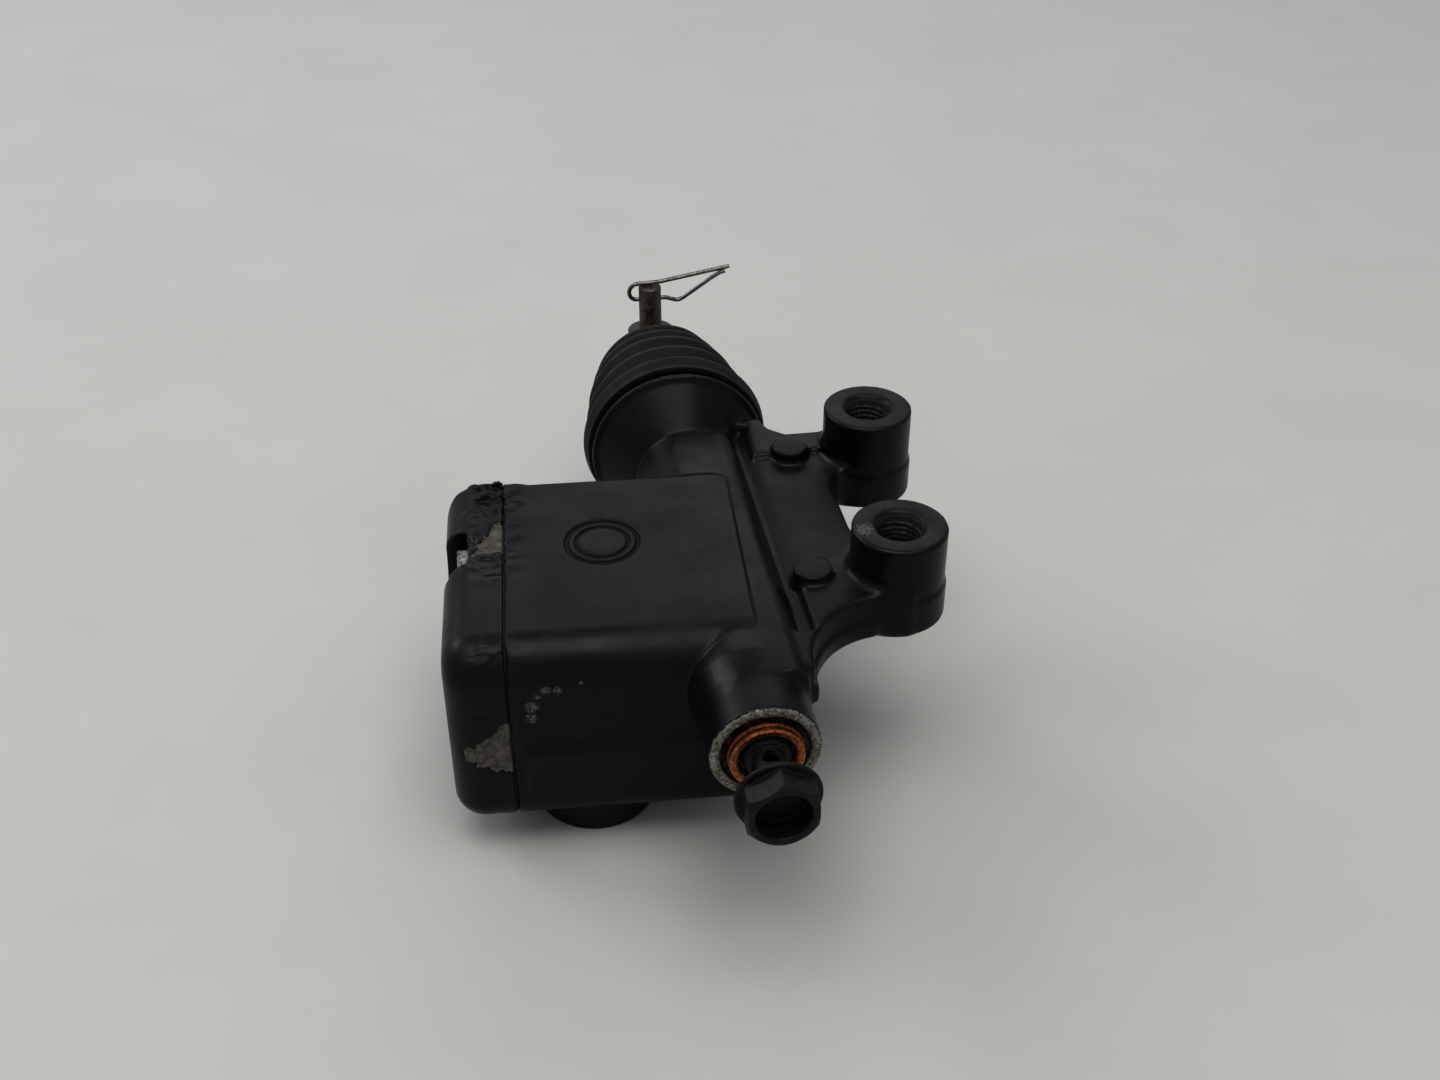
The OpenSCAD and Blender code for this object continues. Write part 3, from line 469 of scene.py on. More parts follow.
def build_cover():
    h = 0.36
    lo, hi = (-103.0, -46.0, -56.0), (-84.0, 21.0, -6.0)
    gx, gy, gz = make_grid(lo, hi, h)
    tx, ty = tank_frame(gx, gy)
    section = tank_section(ty, gz)
    body = joined(section, COVER_X0 - tx, 6.5)
    relief, _ = torn(tx, ty, gz, True)
    body = body - relief * step01(section, -4.0, -1.0)
    # a shard of paint that stands up at the far corner
    shard = polygon(tx, gz, [(-95.5, -10.5), (-92.0, -8.2), (-89.5, -7.6), (-87.3, -6.4), (-87.0, -9.5)])
    lean = ty - 12.4 + (gz + 8.0) * 0.35 + (noise(tx, ty, gz, 1.8, 8) - 0.5) * 1.4
    body = smin(body, np.maximum(shard, np.abs(lean) - 0.38), 0.3)
    body = np.maximum(body, tx - COVER_X1)
    inner = tank_section(ty, gz, 5.5)
    for z in SCREW_ZS:
        inner = np.maximum(inner, -screw_column(ty, gz, z, COLUMN_R))
    body = np.maximum(body, -np.maximum(inner, COVER_X0 + 5 - tx))
    for z in SCREW_ZS:
        spot = np.hypot(ty - SCREW_Y, gz - z)
        worn = (noise(tx, ty, gz, 2.4, 9) - 0.5) * 1.6 * step01(gz, -13.0, -9.0)
        body = cut_away(body, np.maximum(spot - POCKET_R + worn, tx - (COVER_X0 + 5.6) + worn), 0.6)
        body = np.maximum(body, -(spot - 2.2))
    ob, verts = carved("cover_shell", body, lo, h, 150000)
    vx, vy = tank_frame(verts[:, 0], verts[:, 1])
    _, bare = torn(vx, vy, verts[:, 2], True)
    out = tank_section(vy, verts[:, 2]) > -1.6
    paint_attribute(ob, "bare", bare * out)
    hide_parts("reservoir_cover")
    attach(ob, "cylinder")
    return ob


# ---------------------------------------------------------------- banjo bolt with real threads
def build_bolt():
    h = 0.15
    lo, hi = (BX - 9.4, -88.4, BZ - 9.4), (BX + 9.4, -60.2, BZ + 9.4)
    grid = make_grid(lo, hi, h)
    gx, gy, gz = grid
    radius = np.hypot(gx - BX, gz - BZ)
    angle = np.arctan2(gz - BZ, gx - BX)
    phase = (gy / BOLT_PITCH - angle / (2 * math.pi)) % 1.0
    depth = np.abs(phase - 0.5) * 2 * 0.72
    thread = radius - BOLT_R + np.clip(depth - 0.06, 0, 0.62)
    thread = np.maximum(thread, between(gy, -71.0, -61.0)) * 0.75
    body = turned(grid, [
        (FLANGE_Y, 0), (FLANGE_Y, 8.5), (-81.7, 8.8), (-81.2, 8.8), (-81, 8.6), (-81, BOLT_R),
        (-78.2, BOLT_R), (-77.8, 3.7), (-71.2, 3.7), (-71, 4.2), (-61.4, 4.2), (-61, 3.8), (-61, 0)])
    body = np.minimum(body, thread)
    hexagon = np.maximum.reduce([
        np.abs((gx - BX) * math.cos(a) + (gz - BZ) * math.sin(a)) - BOLT_HEX
        for a in (0.0, math.pi / 3, -math.pi / 3)])
    head = np.maximum(hexagon, between(gy, HEAD_Y, FLANGE_Y + 0.1))
    head = np.maximum(head, (radius - 6.95 - (gy - HEAD_Y) * 0.95) * 0.72)
    body = smin(body, head, 0.35)
    dish = radius - 5.6 - np.clip(HEAD_Y + 0.4 - gy, 0, 0.4)
    body = np.maximum(body, -np.maximum(dish, gy + 82.3))
    body = np.maximum(body, -np.maximum(radius - 2.2, -77.0 - gy))
    for u in (gx - BX, gz - BZ):
        hole = np.hypot(u, gy - CROSS_HOLE_Y)
        body = np.maximum(body, -(hole - 1.7) * 0.9)
    ob, _ = carved("banjo_bolt_threaded", body, lo, h, 120000, 2.4)
    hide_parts("banjo_bolt")
    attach(ob, "bolt")
    return ob


# ---------------------------------------------------------------- swept and turned pieces
def spun(name, profile, sides=160, wobble=None):
    """A mesh turned about the bore from a closed outline of [y, r] points."""
    ang = np.linspace(0, 2 * math.pi, sides, endpoint=False)
    pts = np.array(profile, float)
    n = len(pts)
    r = pts[:, 1][None, :] + (wobble(ang[:, None], pts) if wobble else 0)
    x = BX + r * np.cos(ang)[:, None]
    z = BZ + r * np.sin(ang)[:, None]
    y = np.broadcast_to(pts[:, 0][None, :], x.shape)
    verts = np.stack([x, y, z], -1).reshape(-1, 3)
    faces = []
    for i in range(sides):
        k = (i + 1) % sides
        for j in range(n):
            m = (j + 1) % n
            faces.append((i * n + j, i * n + m, k * n + m, k * n + j))
    return mesh_object(name, verts, np.array(faces))


def smooth_profile(points, cuts=4):
    """Catmull-Rom points through an open profile, so that folds are round."""
    p = np.array(points, float)
    p = np.vstack([2 * p[0] - p[1], p, 2 * p[-1] - p[-2]])
    out = []
    for i in range(1, len(p) - 2):
        for t in np.linspace(0, 1, cuts, endpoint=False):
            a, b, c, d = p[i - 1], p[i], p[i + 1], p[i + 2]
            out.append(0.5 * ((2 * b) + (c - a) * t + (2 * a - 5 * b + 4 * c - d) * t * t
                              + (3 * b - a - 3 * c + d) * t ** 3))
    out.append(p[-2])
    return [tuple(v) for v in out]


def outward(ob):
    """Turns the faces so that they face out."""
    bm = bmesh.new()
    bm.from_mesh(ob.data)
    bmesh.ops.recalc_face_normals(bm, faces=bm.faces)
    bm.to_mesh(ob.data)
    bm.free()


def build_boot():
    lip = COLLAR_R + 1.5
    lip_outer = [(48.0, lip - 1.5), (48.05, lip - 0.85), (48.5, lip - 0.6), (50.4, lip - 0.2), (51.8, lip),
                 (52.5, lip - 0.1), (53.0, lip - 0.7)]
    lip_inner = [(53.6, lip - 4.0), (52.8, lip - 3.6), (52.8, 21.2), (50.6, 21.2), (50.6, 19.7),
                 (48.0, 19.7)]
    ob_lip = spun("boot_lip", smooth_profile(lip_outer, 3) + [(53.6, lip - 1.8)] + lip_inner)
    outer = [(BOOT_Y0, lip - 1.2), (54.1, lip - 2.8), (55.4, lip - 3.9), (57.6, lip - 3.2),
             (60.0, lip - 2.2), (61.2, lip - 1.9), (62.2, lip - 2.3), (64.2, lip - 4.4),
             (65.3, lip - 4.75), (68.3, lip - 3.5),
             (69.2, lip - 3.3), (70.0, lip - 3.6), (71.8, lip - 5.9), (72.8, lip - 6.15), (75.2, lip - 5.2),
             (76.0, lip - 5.0), (76.7, lip - 5.3), (78.4, lip - 7.7), (79.2, lip - 7.9), (81.2, lip - 6.8),
             (81.8, lip - 6.6), (82.5, lip - 6.9), (83.0, lip - 7.8)]
    inner = [(82.0, lip - 8.7), (81.4, lip - 8.2), (79.2, lip - 9.4), (77.9, lip - 9.2), (76.0, lip - 6.7),
             (72.8, lip - 7.6), (71.2, lip - 7.3), (69.2, lip - 4.9), (65.2, lip - 6.2), (63.6, lip - 5.9),
             (61.2, lip - 3.5), (55.0, lip - 5.3), (53.3, lip - 4.0)]
    folds = smooth_profile(outer) + smooth_profile(inner, 3)

    def sag(angle, pts):
        return 0.10 * np.sin(3 * angle + 0.7) * np.sin(pts[:, 0][None, :] * 0.5) + 0.05 * np.sin(7 * angle)

    ob_folds = spun("boot_folds", folds, wobble=sag)
    neck = [(82.2, 14.2), (81.2, 12.4), (79.4, 10.2), (77.4, 7.6), (76.9, 6.6), (76.6, 5.6), (76.6, 4.05),
            (74.0, 4.05), (74.0, 6.2), (74.6, 8.2), (77.6, 10.4), (79.8, 12.2), (80.8, 14.2)]
    ob_neck = spun("boot_neck", neck)
    for ob in (ob_lip, ob_folds, ob_neck):
        outward(ob)
        co = np.array([v.co for v in ob.data.vertices]) / MM
        r = np.hypot(co[:, 0] - BX, co[:, 2] - BZ)
        # a mask along the fold crests, which the rubber look lightens: a painted highlight
        crest_highlight = np.zeros(len(co))
        for y, radius in ((48.6, lip - 0.9), (52.3, lip), (61.2, lip - 1.9), (69.2, lip - 3.3),
                          (76.0, lip - 5.0), (81.8, lip - 6.6)):
            crest_highlight = np.maximum(crest_highlight, np.exp(-((co[:, 1] - y) / 0.55) ** 2 - ((r - radius) / 0.5) ** 2))
        paint_attribute(ob, "edge", crest_highlight)
        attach(ob, "push_rod" if ob is ob_neck else "cylinder")
    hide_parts("dust_boot")
    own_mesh(ob_folds)
    return [ob_lip, ob_folds, ob_neck]


def build_spring():
    turns, steps, sides = 8, 28, 10
    wire, mean = 0.65, 4.75
    y0, y1 = FLOOR_Y + 0.7, -10.9
    rows = []
    total = turns * steps
    for i in range(total + 1):
        a = 2 * math.pi * i / steps
        y = y0 + (y1 - y0) * i / total
        for j in range(sides):
            b = 2 * math.pi * j / sides
            r = mean + wire * math.cos(b)
            rows.append((BX + r * math.cos(a), y + wire * math.sin(b), BZ + r * math.sin(a)))
    faces = []
    for i in range(total):
        for j in range(sides):
            k = (j + 1) % sides
            faces.append((i * sides + j, i * sides + k, (i + 1) * sides + k, (i + 1) * sides + j))
    faces.append(tuple(range(sides - 1, -1, -1)))
    faces.append(tuple(total * sides + j for j in range(sides)))
    ob = mesh_object("spring_coil", rows, faces)
    outward(ob)
    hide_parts("return_spring")
    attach(ob, "cylinder")
    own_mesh(ob)
    return ob


def thread_ring(name, centre, r_root, r_crest, pitch, z0, z1, sides=72):
    """An internal thread standing in from a hole wall, about +Z."""
    turns = int((z1 - z0) / pitch)
    shape = [(0.0, r_root), (0.12, r_root), (0.42, r_crest), (0.58, r_crest), (0.88, r_root), (1.0, r_root)]
    verts = []
    total = turns * sides
    for i in range(total + 1):
        a = 2 * math.pi * i / sides
        rise = z0 + pitch * i / sides
        fade = min(1.0, i / sides, (total - i) / sides)
        for t, r in shape:
            rr = r_root + (r - r_root) * fade
            across = (centre[0] + rr * math.cos(a), centre[1] + rr * math.sin(a))
            verts.append((*across, rise + (t - 0.5) * pitch))
    n = len(shape)
    faces = [(i * n + j, (i + 1) * n + j, (i + 1) * n + j + 1, i * n + j + 1)
             for i in range(total) for j in range(n - 1)]
    ob = mesh_object(name, verts, faces)
    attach(ob, "cylinder")
    return ob


# ---------------------------------------------------------------- materials
class Look:
    """A small helper to write a node material in a few lines."""

    def __init__(self, name):
        self.material = bpy.data.materials.new(name)
        self.material.use_nodes = True
        self.tree = self.material.node_tree
        self.tree.nodes.clear()
        self.out = self.tree.nodes.new("ShaderNodeOutputMaterial")
        self.bsdf = self.tree.nodes.new("ShaderNodeBsdfPrincipled")
        self.link(self.bsdf.outputs[0], self.out.inputs["Surface"])
        self.where = self.node("ShaderNodeTexCoord").outputs["Object"]

    def node(self, kind, **values):
        n = self.tree.nodes.new(kind)
        for key, value in values.items():
            setattr(n, key, value)
        return n

    def link(self, a, b):
        self.tree.links.new(a, b)

    def put(self, socket, value):
        if hasattr(value, "is_output"):
            self.link(value, socket)
        else:
            socket.default_value = value

    def math(self, op, a, b=0.0, clamp=False):
        n = self.node("ShaderNodeMath", operation=op, use_clamp=clamp)
        for socket, value in zip(n.inputs, (a, b)):
            self.put(socket, value)
        return n.outputs[0]

    def noise(self, size, detail=3.0, rough=0.55, stretch=None, turn=None):
        n = self.node("ShaderNodeTexNoise")
        n.inputs["Scale"].default_value = 1000.0 / size
        n.inputs["Detail"].default_value = detail
        n.inputs["Roughness"].default_value = rough
        self.link(self.placed(stretch, turn), n.inputs["Vector"])
        return n.outputs["Fac"]

    def placed(self, stretch, turn):
        if stretch is None and turn is None:
            return self.where
        m = self.node("ShaderNodeMapping")
        m.inputs["Scale"].default_value = stretch or (1, 1, 1)
        m.inputs["Rotation"].default_value = turn or (0, 0, 0)
        self.link(self.where, m.inputs["Vector"])
        return m.outputs[0]

    def ramp(self, value, lo, hi, a=0.0, b=1.0):
        n = self.node("ShaderNodeMapRange", interpolation_type="SMOOTHSTEP")
        for socket, v in zip(n.inputs, (value, lo, hi, a, b)):
            self.put(socket, v)
        return n.outputs[0]

    def colour(self, factor, a, b):
        n = self.node("ShaderNodeMix", data_type="RGBA")
        self.put(n.inputs["Factor"], factor)
        for socket, v in ((n.inputs[6], a), (n.inputs[7], b)):
            if hasattr(v, "is_output"):
                self.link(v, socket)
            else:
                socket.default_value = (*v, 1.0)
        return n.outputs[2]

    def attribute(self, name):
        return self.node("ShaderNodeAttribute", attribute_name=name).outputs["Fac"]

    def axes(self):
        n = self.node("ShaderNodeSeparateXYZ")
        self.link(self.where, n.inputs[0])
        return n.outputs

    def distance(self, x, y, z):
        n = self.node("ShaderNodeVectorMath", operation="DISTANCE")
        self.link(self.where, n.inputs[0])
        n.inputs[1].default_value = (x * MM, y * MM, z * MM)
        return n.outputs["Value"]

    def radius(self, u, v, centre):
        """Distance of a place from an axis through the centre, which is in mm."""
        du = self.math("SUBTRACT", u, centre[0] * MM)
        dv = self.math("SUBTRACT", v, centre[1] * MM)
        return self.math("SQRT", self.math("ADD", self.both(du, du), self.both(dv, dv)))

    def both(self, a, b):
        return self.math("MULTIPLY", a, b)

    def facing_up(self):
        g = self.node("ShaderNodeNewGeometry")
        n = self.node("ShaderNodeSeparateXYZ")
        self.link(g.outputs["Normal"], n.inputs[0])
        return n.outputs[2]

    def scratches(self, width=0.10, length=9.0, threshold=0.70):
        """Fine lines in three directions, from 0 to 1."""
        lines = None
        for k, turn in enumerate(((0.3, 0.2, 0.5), (0.1, 1.1, 2.0), (1.4, 0.4, 3.1))):
            raw = self.noise(1.0, 1.0, 0.4, stretch=(1 / length, 1 / width, 1 / width), turn=turn)
            line = self.ramp(raw, threshold, threshold + 0.06)
            lines = line if lines is None else self.math("MAXIMUM", lines, line)
        where = self.ramp(self.noise(14.0 + 3 * k, 2.0), 0.5, 0.62)
        return self.math("MULTIPLY", lines, where)

    def bump(self, height, depth, normal=None):
        n = self.node("ShaderNodeBump")
        n.inputs["Strength"].default_value = 1.0
        n.inputs["Distance"].default_value = depth * MM
        self.link(height, n.inputs["Height"])
        if normal is not None:
            self.link(normal, n.inputs["Normal"])
        return n.outputs[0]

    def finish(self, colour, rough, metallic=0.0, normal=None, specular=0.5, **extra):
        if hasattr(colour, "is_output"):
            self.link(colour, self.bsdf.inputs["Base Color"])
        else:
            self.bsdf.inputs["Base Color"].default_value = (*colour, 1.0)
        self.put(self.bsdf.inputs["Roughness"], rough)
        self.put(self.bsdf.inputs["Metallic"], metallic)
        self.bsdf.inputs["Specular IOR Level"].default_value = specular
        if normal is not None:
            self.link(normal, self.bsdf.inputs["Normal"])
        for key, value in extra.items():
            self.bsdf.inputs[key.replace("_", " ")].default_value = value
        return self.material

class Coat:
    """The black paint's colour, roughness, height and metal share, changed where something lies on it."""

    def __init__(self, k):
        self.k = k
        broad = k.noise(22.0, 3.0)
        fine = k.noise(0.55, 3.0, 0.6)
        self.speckle = k.noise(0.9, 4.0, 0.7)
        dust = k.both(k.ramp(k.facing_up(), 0.2, 1.0), k.ramp(k.noise(6.0, 4.0, 0.65), 0.35, 0.75))
        lines = k.scratches()
        self.colour = k.colour(broad, (0.0026, 0.0028, 0.0038), (0.0046, 0.0049, 0.0062))
        self.rough = k.ramp(broad, 0.3, 0.7, 0.27, 0.44)
        grain = k.math("MULTIPLY", k.noise(2.2, 2.0), 0.5)
        self.height = k.math("ADD", k.math("MULTIPLY", fine, 0.35), grain)
        self.metallic = 0.0
        self.lay(dust, (0.017, 0.017, 0.018), share=0.22, rough=0.10)
        self.lay(lines, (0.045, 0.045, 0.047), share=0.35, rough=0.22, height=-0.3)

    def lay(self, mask, colour, share=1.0, rough=0.0, height=0.0):
        """Lays a share of a colour where the mask is 1, and adds to the roughness and height there."""
        k = self.k
        self.colour = k.colour(k.math("MULTIPLY", mask, share), self.colour, colour)
        self.rough = k.math("ADD", self.rough, k.math("MULTIPLY", mask, rough), clamp=True)
        self.height = k.math("ADD", self.height, k.math("MULTIPLY", mask, height))

    def material(self):
        k = self.k
        dents = k.bump(k.noise(11.0, 2.0, 0.5), 0.16)
        normal = k.bump(self.height, 0.045, dents)
        return k.finish(self.colour, self.rough, self.metallic, normal, specular=0.24)


def cover_paint(name):
    """Black paint that is torn off where the attribute bare says and rubbed on the edges."""
    k = Look(name)
    coat = Coat(k)
    ragged = k.math("MULTIPLY", k.math("SUBTRACT", coat.speckle, 0.5), 0.5)
    mask = k.ramp(k.math("ADD", k.attribute("bare"), ragged), 0.45, 0.6)
    blotch = k.ramp(k.noise(1.6, 5.0, 0.7), 0.3, 0.7)
    tone = k.colour(blotch, (0.050, 0.045, 0.037), (0.150, 0.135, 0.112))
    worn = k.both(k.ramp(k.attribute("edge"), 0.045, 0.12), k.ramp(coat.speckle, 0.42, 0.6))
    coat.lay(worn, (0.05, 0.05, 0.05), share=0.35, rough=0.2)
    coat.lay(mask, tone, rough=0.28)
    return coat.material()


def lay_port(k, coat, xs, ys, zs):
    """The machined face of the port and its wet, rusty inside."""
    radius = k.radius(xs, zs, (BX, BZ))
    ragged = k.math("ADD", radius, k.math("MULTIPLY", k.math("SUBTRACT", coat.speckle, 0.5), 0.9 * MM))
    face = k.both(k.ramp(ragged, 11.25 * MM, 11.40 * MM, 1.0, 0.0), k.ramp(ys, -68.3 * MM, -68.6 * MM))
    pits = k.ramp(k.noise(0.7, 4.0, 0.75), 0.48, 0.60)
    stain = k.ramp(k.noise(3.2, 4.0, 0.6), 0.38, 0.68)
    metal_tone = k.colour(pits, (0.34, 0.33, 0.29), (0.10, 0.093, 0.078))
    metal_tone = k.colour(k.math("MULTIPLY", stain, 0.6), metal_tone, (0.10, 0.09, 0.07))
    inside = k.both(k.ramp(radius, 9.22 * MM, 9.32 * MM, 1.0, 0.0), k.ramp(ys, -50.0 * MM, -51.0 * MM))
    wet = k.colour(k.ramp(k.noise(1.4, 3.0), 0.42, 0.6), (0.006, 0.005, 0.004), (0.050, 0.022, 0.012))
    coat.lay(face, metal_tone, rough=0.14)
    coat.lay(inside, wet, rough=-0.25)
    coat.metallic = k.math("MULTIPLY", face, 0.55)
    coat.height = k.math("SUBTRACT", coat.height, k.math("MULTIPLY", k.both(face, pits), 1.2))


def lay_holes(k, coat, xs, ys, zs):
    """The worn walls of the mounting holes."""
    walls = []
    for side in (-1, 1):
        reach = k.radius(xs, ys, (side * BOSS_X, side * BOSS_Y))
        walls.append(k.both(k.ramp(reach, 5.3 * MM, 5.5 * MM, 1.0, 0.0), k.ramp(zs, -0.6 * MM, -1.0 * MM)))
    tone = k.colour(coat.speckle, (0.016, 0.015, 0.014), (0.07, 0.066, 0.06))
    coat.lay(k.math("MAXIMUM", *walls), tone, rough=0.1)


def lay_ring_shade(k, coat, xs, ys, zs):
    """Painted shade in the grooves of the double ring on the reservoir's top, with a bump for their depth.
    """
    reach = k.radius(xs, ys, RING_AT)
    on_top = k.ramp(zs, -9.8 * MM, -9.2 * MM)
    for centre, half in zip(RING_RADII, (0.52 * MM, 0.44 * MM)):
        off = k.math("ABSOLUTE", k.math("SUBTRACT", reach, centre * MM))
        groove = k.both(k.ramp(off, half * 1.25, half * 0.7), on_top)
        # near-black colour in each groove: painted shade
        coat.lay(groove, (0.0012, 0.0012, 0.0015), share=0.85, rough=0.25, height=-7.0)


def lay_chips(k, coat):
    flecks = k.noise(0.6, 6.0, 0.8, turn=(0.4, 0.3, 0.2))
    bits = k.ramp(k.noise(0.5, 4.0, 0.7), 0.42, 0.52)
    for x, y, z, size in CHIPS:
        ragged = k.math("MULTIPLY", k.math("SUBTRACT", flecks, 0.5), size * 5.0 * MM)
        near = k.math("ADD", k.distance(x, y, z), ragged)
        spot = k.both(k.ramp(near, size * 0.95 * MM, size * 0.80 * MM), bits)
        coat.lay(spot, (0.15, 0.145, 0.13), share=0.9, rough=0.2, height=-1.0)


def casting_paint(name):
    k = Look(name)
    coat = Coat(k)
    xs, ys, zs = k.axes()
    lay_port(k, coat, xs, ys, zs)
    lay_holes(k, coat, xs, ys, zs)
    lay_ring_shade(k, coat, xs, ys, zs)
    lay_chips(k, coat)
    return coat.material()


def metal(name, dark, light, rough, size=1.6, metallic=1.0, grain=0.02, wear_and_glint=None, specular=0.5):
    k = Look(name)
    spread = 0.12
    patch = k.noise(size, 4.0, 0.65)
    fine = k.noise(size * 0.22, 3.0, 0.6)
    colour = k.colour(k.ramp(patch, 0.32, 0.68), dark, light)
    roughness = k.ramp(fine, 0.3, 0.7, rough - spread / 2, rough + spread / 2)
    # lightens convex edges: rubbed metal, and a painted highlight on chamfers and thread crests
    if wear_and_glint:
        edge = k.ramp(k.attribute("edge"), wear_and_glint[0], wear_and_glint[1])
        worn = k.math("MULTIPLY", edge, k.ramp(fine, 0.36, 0.56))
        colour = k.colour(worn, colour, wear_and_glint[2])
        roughness = k.math("SUBTRACT", roughness, k.math("MULTIPLY", worn, 0.12), clamp=True)
    height = k.math("ADD", k.math("MULTIPLY", patch, 0.6), k.math("MULTIPLY", fine, 0.4))
    return k.finish(colour, roughness, metallic, k.bump(height, grain), specular)


def rubber_look(name, dusty=0.5):
    k = Look(name)
    broad = k.noise(7.0, 4.0, 0.6)
    fine = k.noise(0.35, 3.0, 0.65)
    colour = k.colour(broad, (0.0050, 0.0050, 0.0050), (0.0105, 0.0100, 0.0100))
    dust = k.math("MULTIPLY", k.ramp(k.noise(2.4, 5.0, 0.7), 0.4, 0.75), dusty)
    colour = k.colour(k.math("MULTIPLY", dust, 0.5), colour, (0.026, 0.0245, 0.023))
    # lightens the fold crests: a painted highlight
    crest_highlight = k.math("MULTIPLY", k.ramp(k.attribute("edge"), 0.15, 0.8), k.ramp(fine, 0.2, 0.7))
    colour = k.colour(k.math("MULTIPLY", crest_highlight, 0.55), colour, (0.075, 0.071, 0.065))
    rough = k.ramp(broad, 0.3, 0.7, 0.58, 0.74)
    return k.finish(colour, rough, 0.0, k.bump(fine, 0.03), 0.24)


def glass_look(name):
    k = Look(name)
    haze = k.noise(3.0, 4.0)
    rough = k.ramp(haze, 0.3, 0.7, 0.05, 0.16)
    colour = k.colour(haze, (0.55, 0.56, 0.46), (0.66, 0.66, 0.55))
    return k.finish(colour, rough, 0.0, k.bump(haze, 0.01), 0.5, Transmission_Weight=0.6, IOR=1.49)


def plastic_look(name, colour_a, colour_b, rough):
    k = Look(name)
    broad = k.noise(5.0, 3.0)
    colour = k.colour(broad, colour_a, colour_b)
    roughness = k.ramp(broad, 0.3, 0.7, rough - 0.06, rough + 0.06)
    return k.finish(colour, roughness, 0.0, k.bump(k.noise(0.5), 0.02))


def rusty_look(name):
    k = Look(name)
    patch = k.noise(1.7, 5.0, 0.7)
    fine = k.noise(0.4, 4.0, 0.7)
    base = k.colour(k.ramp(patch, 0.35, 0.6), (0.050, 0.044, 0.040), (0.13, 0.125, 0.12))
    mixed = k.math("ADD", k.math("MULTIPLY", patch, 0.5), k.math("MULTIPLY", fine, 0.5))
    rust = k.ramp(mixed, 0.47, 0.60)
    colour = k.colour(rust, base, k.colour(fine, (0.050, 0.020, 0.010), (0.115, 0.052, 0.028)))
    metallic = k.math("SUBTRACT", 0.85, k.math("MULTIPLY", rust, 0.75))
    rough = k.ramp(rust, 0.0, 1.0, 0.38, 0.78)
    return k.finish(colour, rough, metallic, k.bump(k.math("ADD", fine, rust), 0.05))


def dress(ob, material):
    ob.data.materials.clear()
    ob.data.materials.append(material)


# ---------------------------------------------------------------- build
casting = build_casting()
cover = build_cover()
bolt = build_bolt()
boot_parts = build_boot()
spring = build_spring()
THREAD = (HOLE_R + 0.12, HOLE_R - 0.5, 1.25, -20.6, -1.2)
threads = [thread_ring("hole_threads_near", (-BOSS_X, -BOSS_Y), *THREAD),
           thread_ring("hole_threads_far", (BOSS_X, BOSS_Y), *THREAD)]

paint = casting_paint("paint_casting")
paint_cover = cover_paint("paint_cover")
rubber = rubber_look("rubber_boot")
soft_rubber = rubber_look("rubber_seal", 0.1)
zinc = metal("zinc_plate", (0.30, 0.27, 0.20), (0.50, 0.46, 0.36), 0.40)
worn_zinc = metal("worn_zinc", (0.08, 0.078, 0.07), (0.30, 0.29, 0.27), 0.5, size=1.1, metallic=0.7)
steel = metal("bright_steel", (0.40, 0.40, 0.39), (0.58, 0.58, 0.56), 0.30)
spring_steel = metal("spring_steel", (0.10, 0.095, 0.09), (0.26, 0.25, 0.24), 0.36, size=0.9)
anodised = metal("anodised_aluminium", (0.46, 0.42, 0.30), (0.58, 0.54, 0.40), 0.34)
copper = metal("copper", (0.16, 0.055, 0.028), (0.52, 0.20, 0.095), 0.40, size=0.8, grain=0.04)
# a darker copy of the copper for the inner crush washer: painted shade
copper_shaded = metal("copper_shaded", (0.09, 0.033, 0.018), (0.30, 0.11, 0.055), 0.44, size=0.7, grain=0.04)
# light grey on its edges and thread crests: partly rubbed steel, partly a painted highlight
blackened = metal("black_steel", (0.005, 0.005, 0.005), (0.014, 0.013, 0.012), 0.46,
                  size=1.2, metallic=0.15, wear_and_glint=(0.07, 0.18, (0.46, 0.45, 0.43)), specular=0.3)
thread_look = metal("hole_thread", (0.035, 0.034, 0.032), (0.16, 0.155, 0.145), 0.45, size=0.8)
rusty = rusty_look("rusty_steel")
glass = glass_look("sight_glass")
white = plastic_look("white_plastic", (0.62, 0.62, 0.57), (0.72, 0.72, 0.67), 0.45)

dress(casting, paint)
dress(cover, paint_cover)
dress(bolt, blackened)
for piece in boot_parts:
    dress(piece, rubber)
dress(spring, spring_steel)
for piece in threads:
    dress(piece, thread_look)
for node, look in {
        "cover_screws": worn_zinc, "diaphragm_plate": white, "diaphragm": soft_rubber,
        "sight_glass_lens": glass, "sight_glass_seal": soft_rubber, "sight_glass_ring": steel,
        "retaining_washer": zinc,
        "circlip": spring_steel, "inner_crush_washer": copper_shaded, "outer_crush_washer": copper,
        "piston": anodised, "primary_cup": soft_rubber, "secondary_cup": soft_rubber, "spring_seat": steel,
        "push_rod": zinc, "lock_nut": zinc, "clevis": rusty, "clevis_pin": rusty,
        "hairpin_clip": spring_steel}.items():
    dress(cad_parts[node], look)

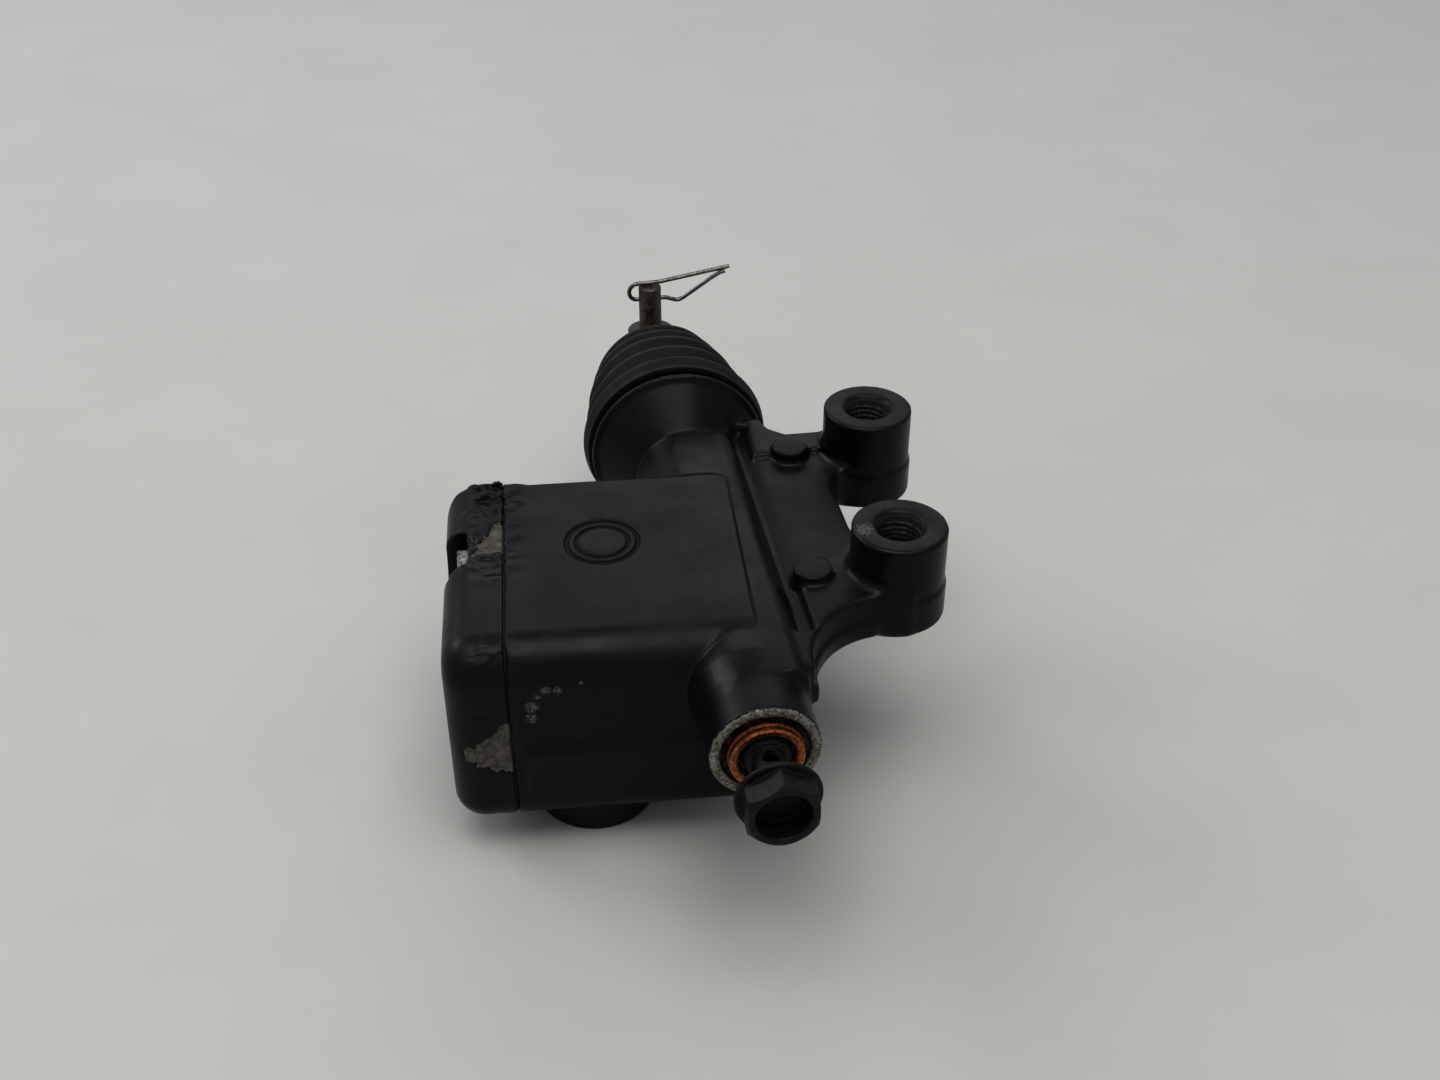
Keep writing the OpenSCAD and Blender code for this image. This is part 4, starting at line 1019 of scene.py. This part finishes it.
# ---------------------------------------------------------------- floor, light and camera
lowest = CAD_BOX[0].z
floor_mesh = bpy.data.meshes.new("floor")
floor_half = 3.0
floor_corners = [(x * floor_half, y * floor_half, lowest) for x, y in ((-1, -1), (1, -1), (1, 1), (-1, 1))]
floor_mesh.from_pydata(floor_corners, [], [(0, 1, 2, 3)])
floor = bpy.data.objects.new("floor", floor_mesh)
bpy.context.scene.collection.objects.link(floor)
k = Look("floor")
tone = k.colour(k.noise(60.0, 4.0, 0.6), (0.50, 0.49, 0.465), (0.555, 0.545, 0.52))
floor_mesh.materials.append(k.finish(tone, 0.6, 0.0, None, 0.3))

world = bpy.data.worlds.new("world")
world.use_nodes = True
world.node_tree.nodes["Background"].inputs[0].default_value = (0.92, 0.96, 1.0, 1.0)
world.node_tree.nodes["Background"].inputs[1].default_value = 0.50
bpy.context.scene.world = world


def area(name, place, target, size, watts, tint):
    """A rectangular lamp at a place, aimed at a target, in metres."""
    data = bpy.data.lights.new(name, "AREA")
    data.shape = "RECTANGLE"
    data.size, data.size_y = size
    data.energy = watts
    data.color = tint
    ob = bpy.data.objects.new(name, data)
    ob.location = place
    ob.rotation_euler = (Vector(target) - Vector(place)).to_track_quat("-Z", "Y").to_euler()
    bpy.context.scene.collection.objects.link(ob)


# each light aims at the middle of the part
AIM = (-0.05, 0, 0)
area("ceiling", (-0.1, -0.25, 1.3), AIM, (1.2, 0.9), 11.0, (1.0, 0.99, 0.97))
area("window", (-1.0, 0.75, 0.8), AIM, (0.6, 0.6), 5.5, (0.92, 0.96, 1.0))
area("far_wall", (0.25, 1.5, 0.95), AIM, (1.6, 0.7), 4.0, (0.92, 0.95, 1.0))

camera_data = bpy.data.cameras.new("camera")
camera_data.lens = 41.55
camera_data.sensor_width = 36.0
camera_data.clip_start = 0.01
camera = bpy.data.objects.new("camera", camera_data)
camera.location = (-0.09157, -0.30841, 0.20348)
CAMERA_DOWN, CAMERA_TURN = 35.15, -9.91
camera.rotation_euler = (math.radians(90 - CAMERA_DOWN), 0.0, math.radians(CAMERA_TURN))
bpy.context.scene.collection.objects.link(camera)
bpy.context.scene.camera = camera
bpy.context.scene.view_settings.view_transform = "Standard"
bpy.context.scene.view_settings.gamma = 0.78
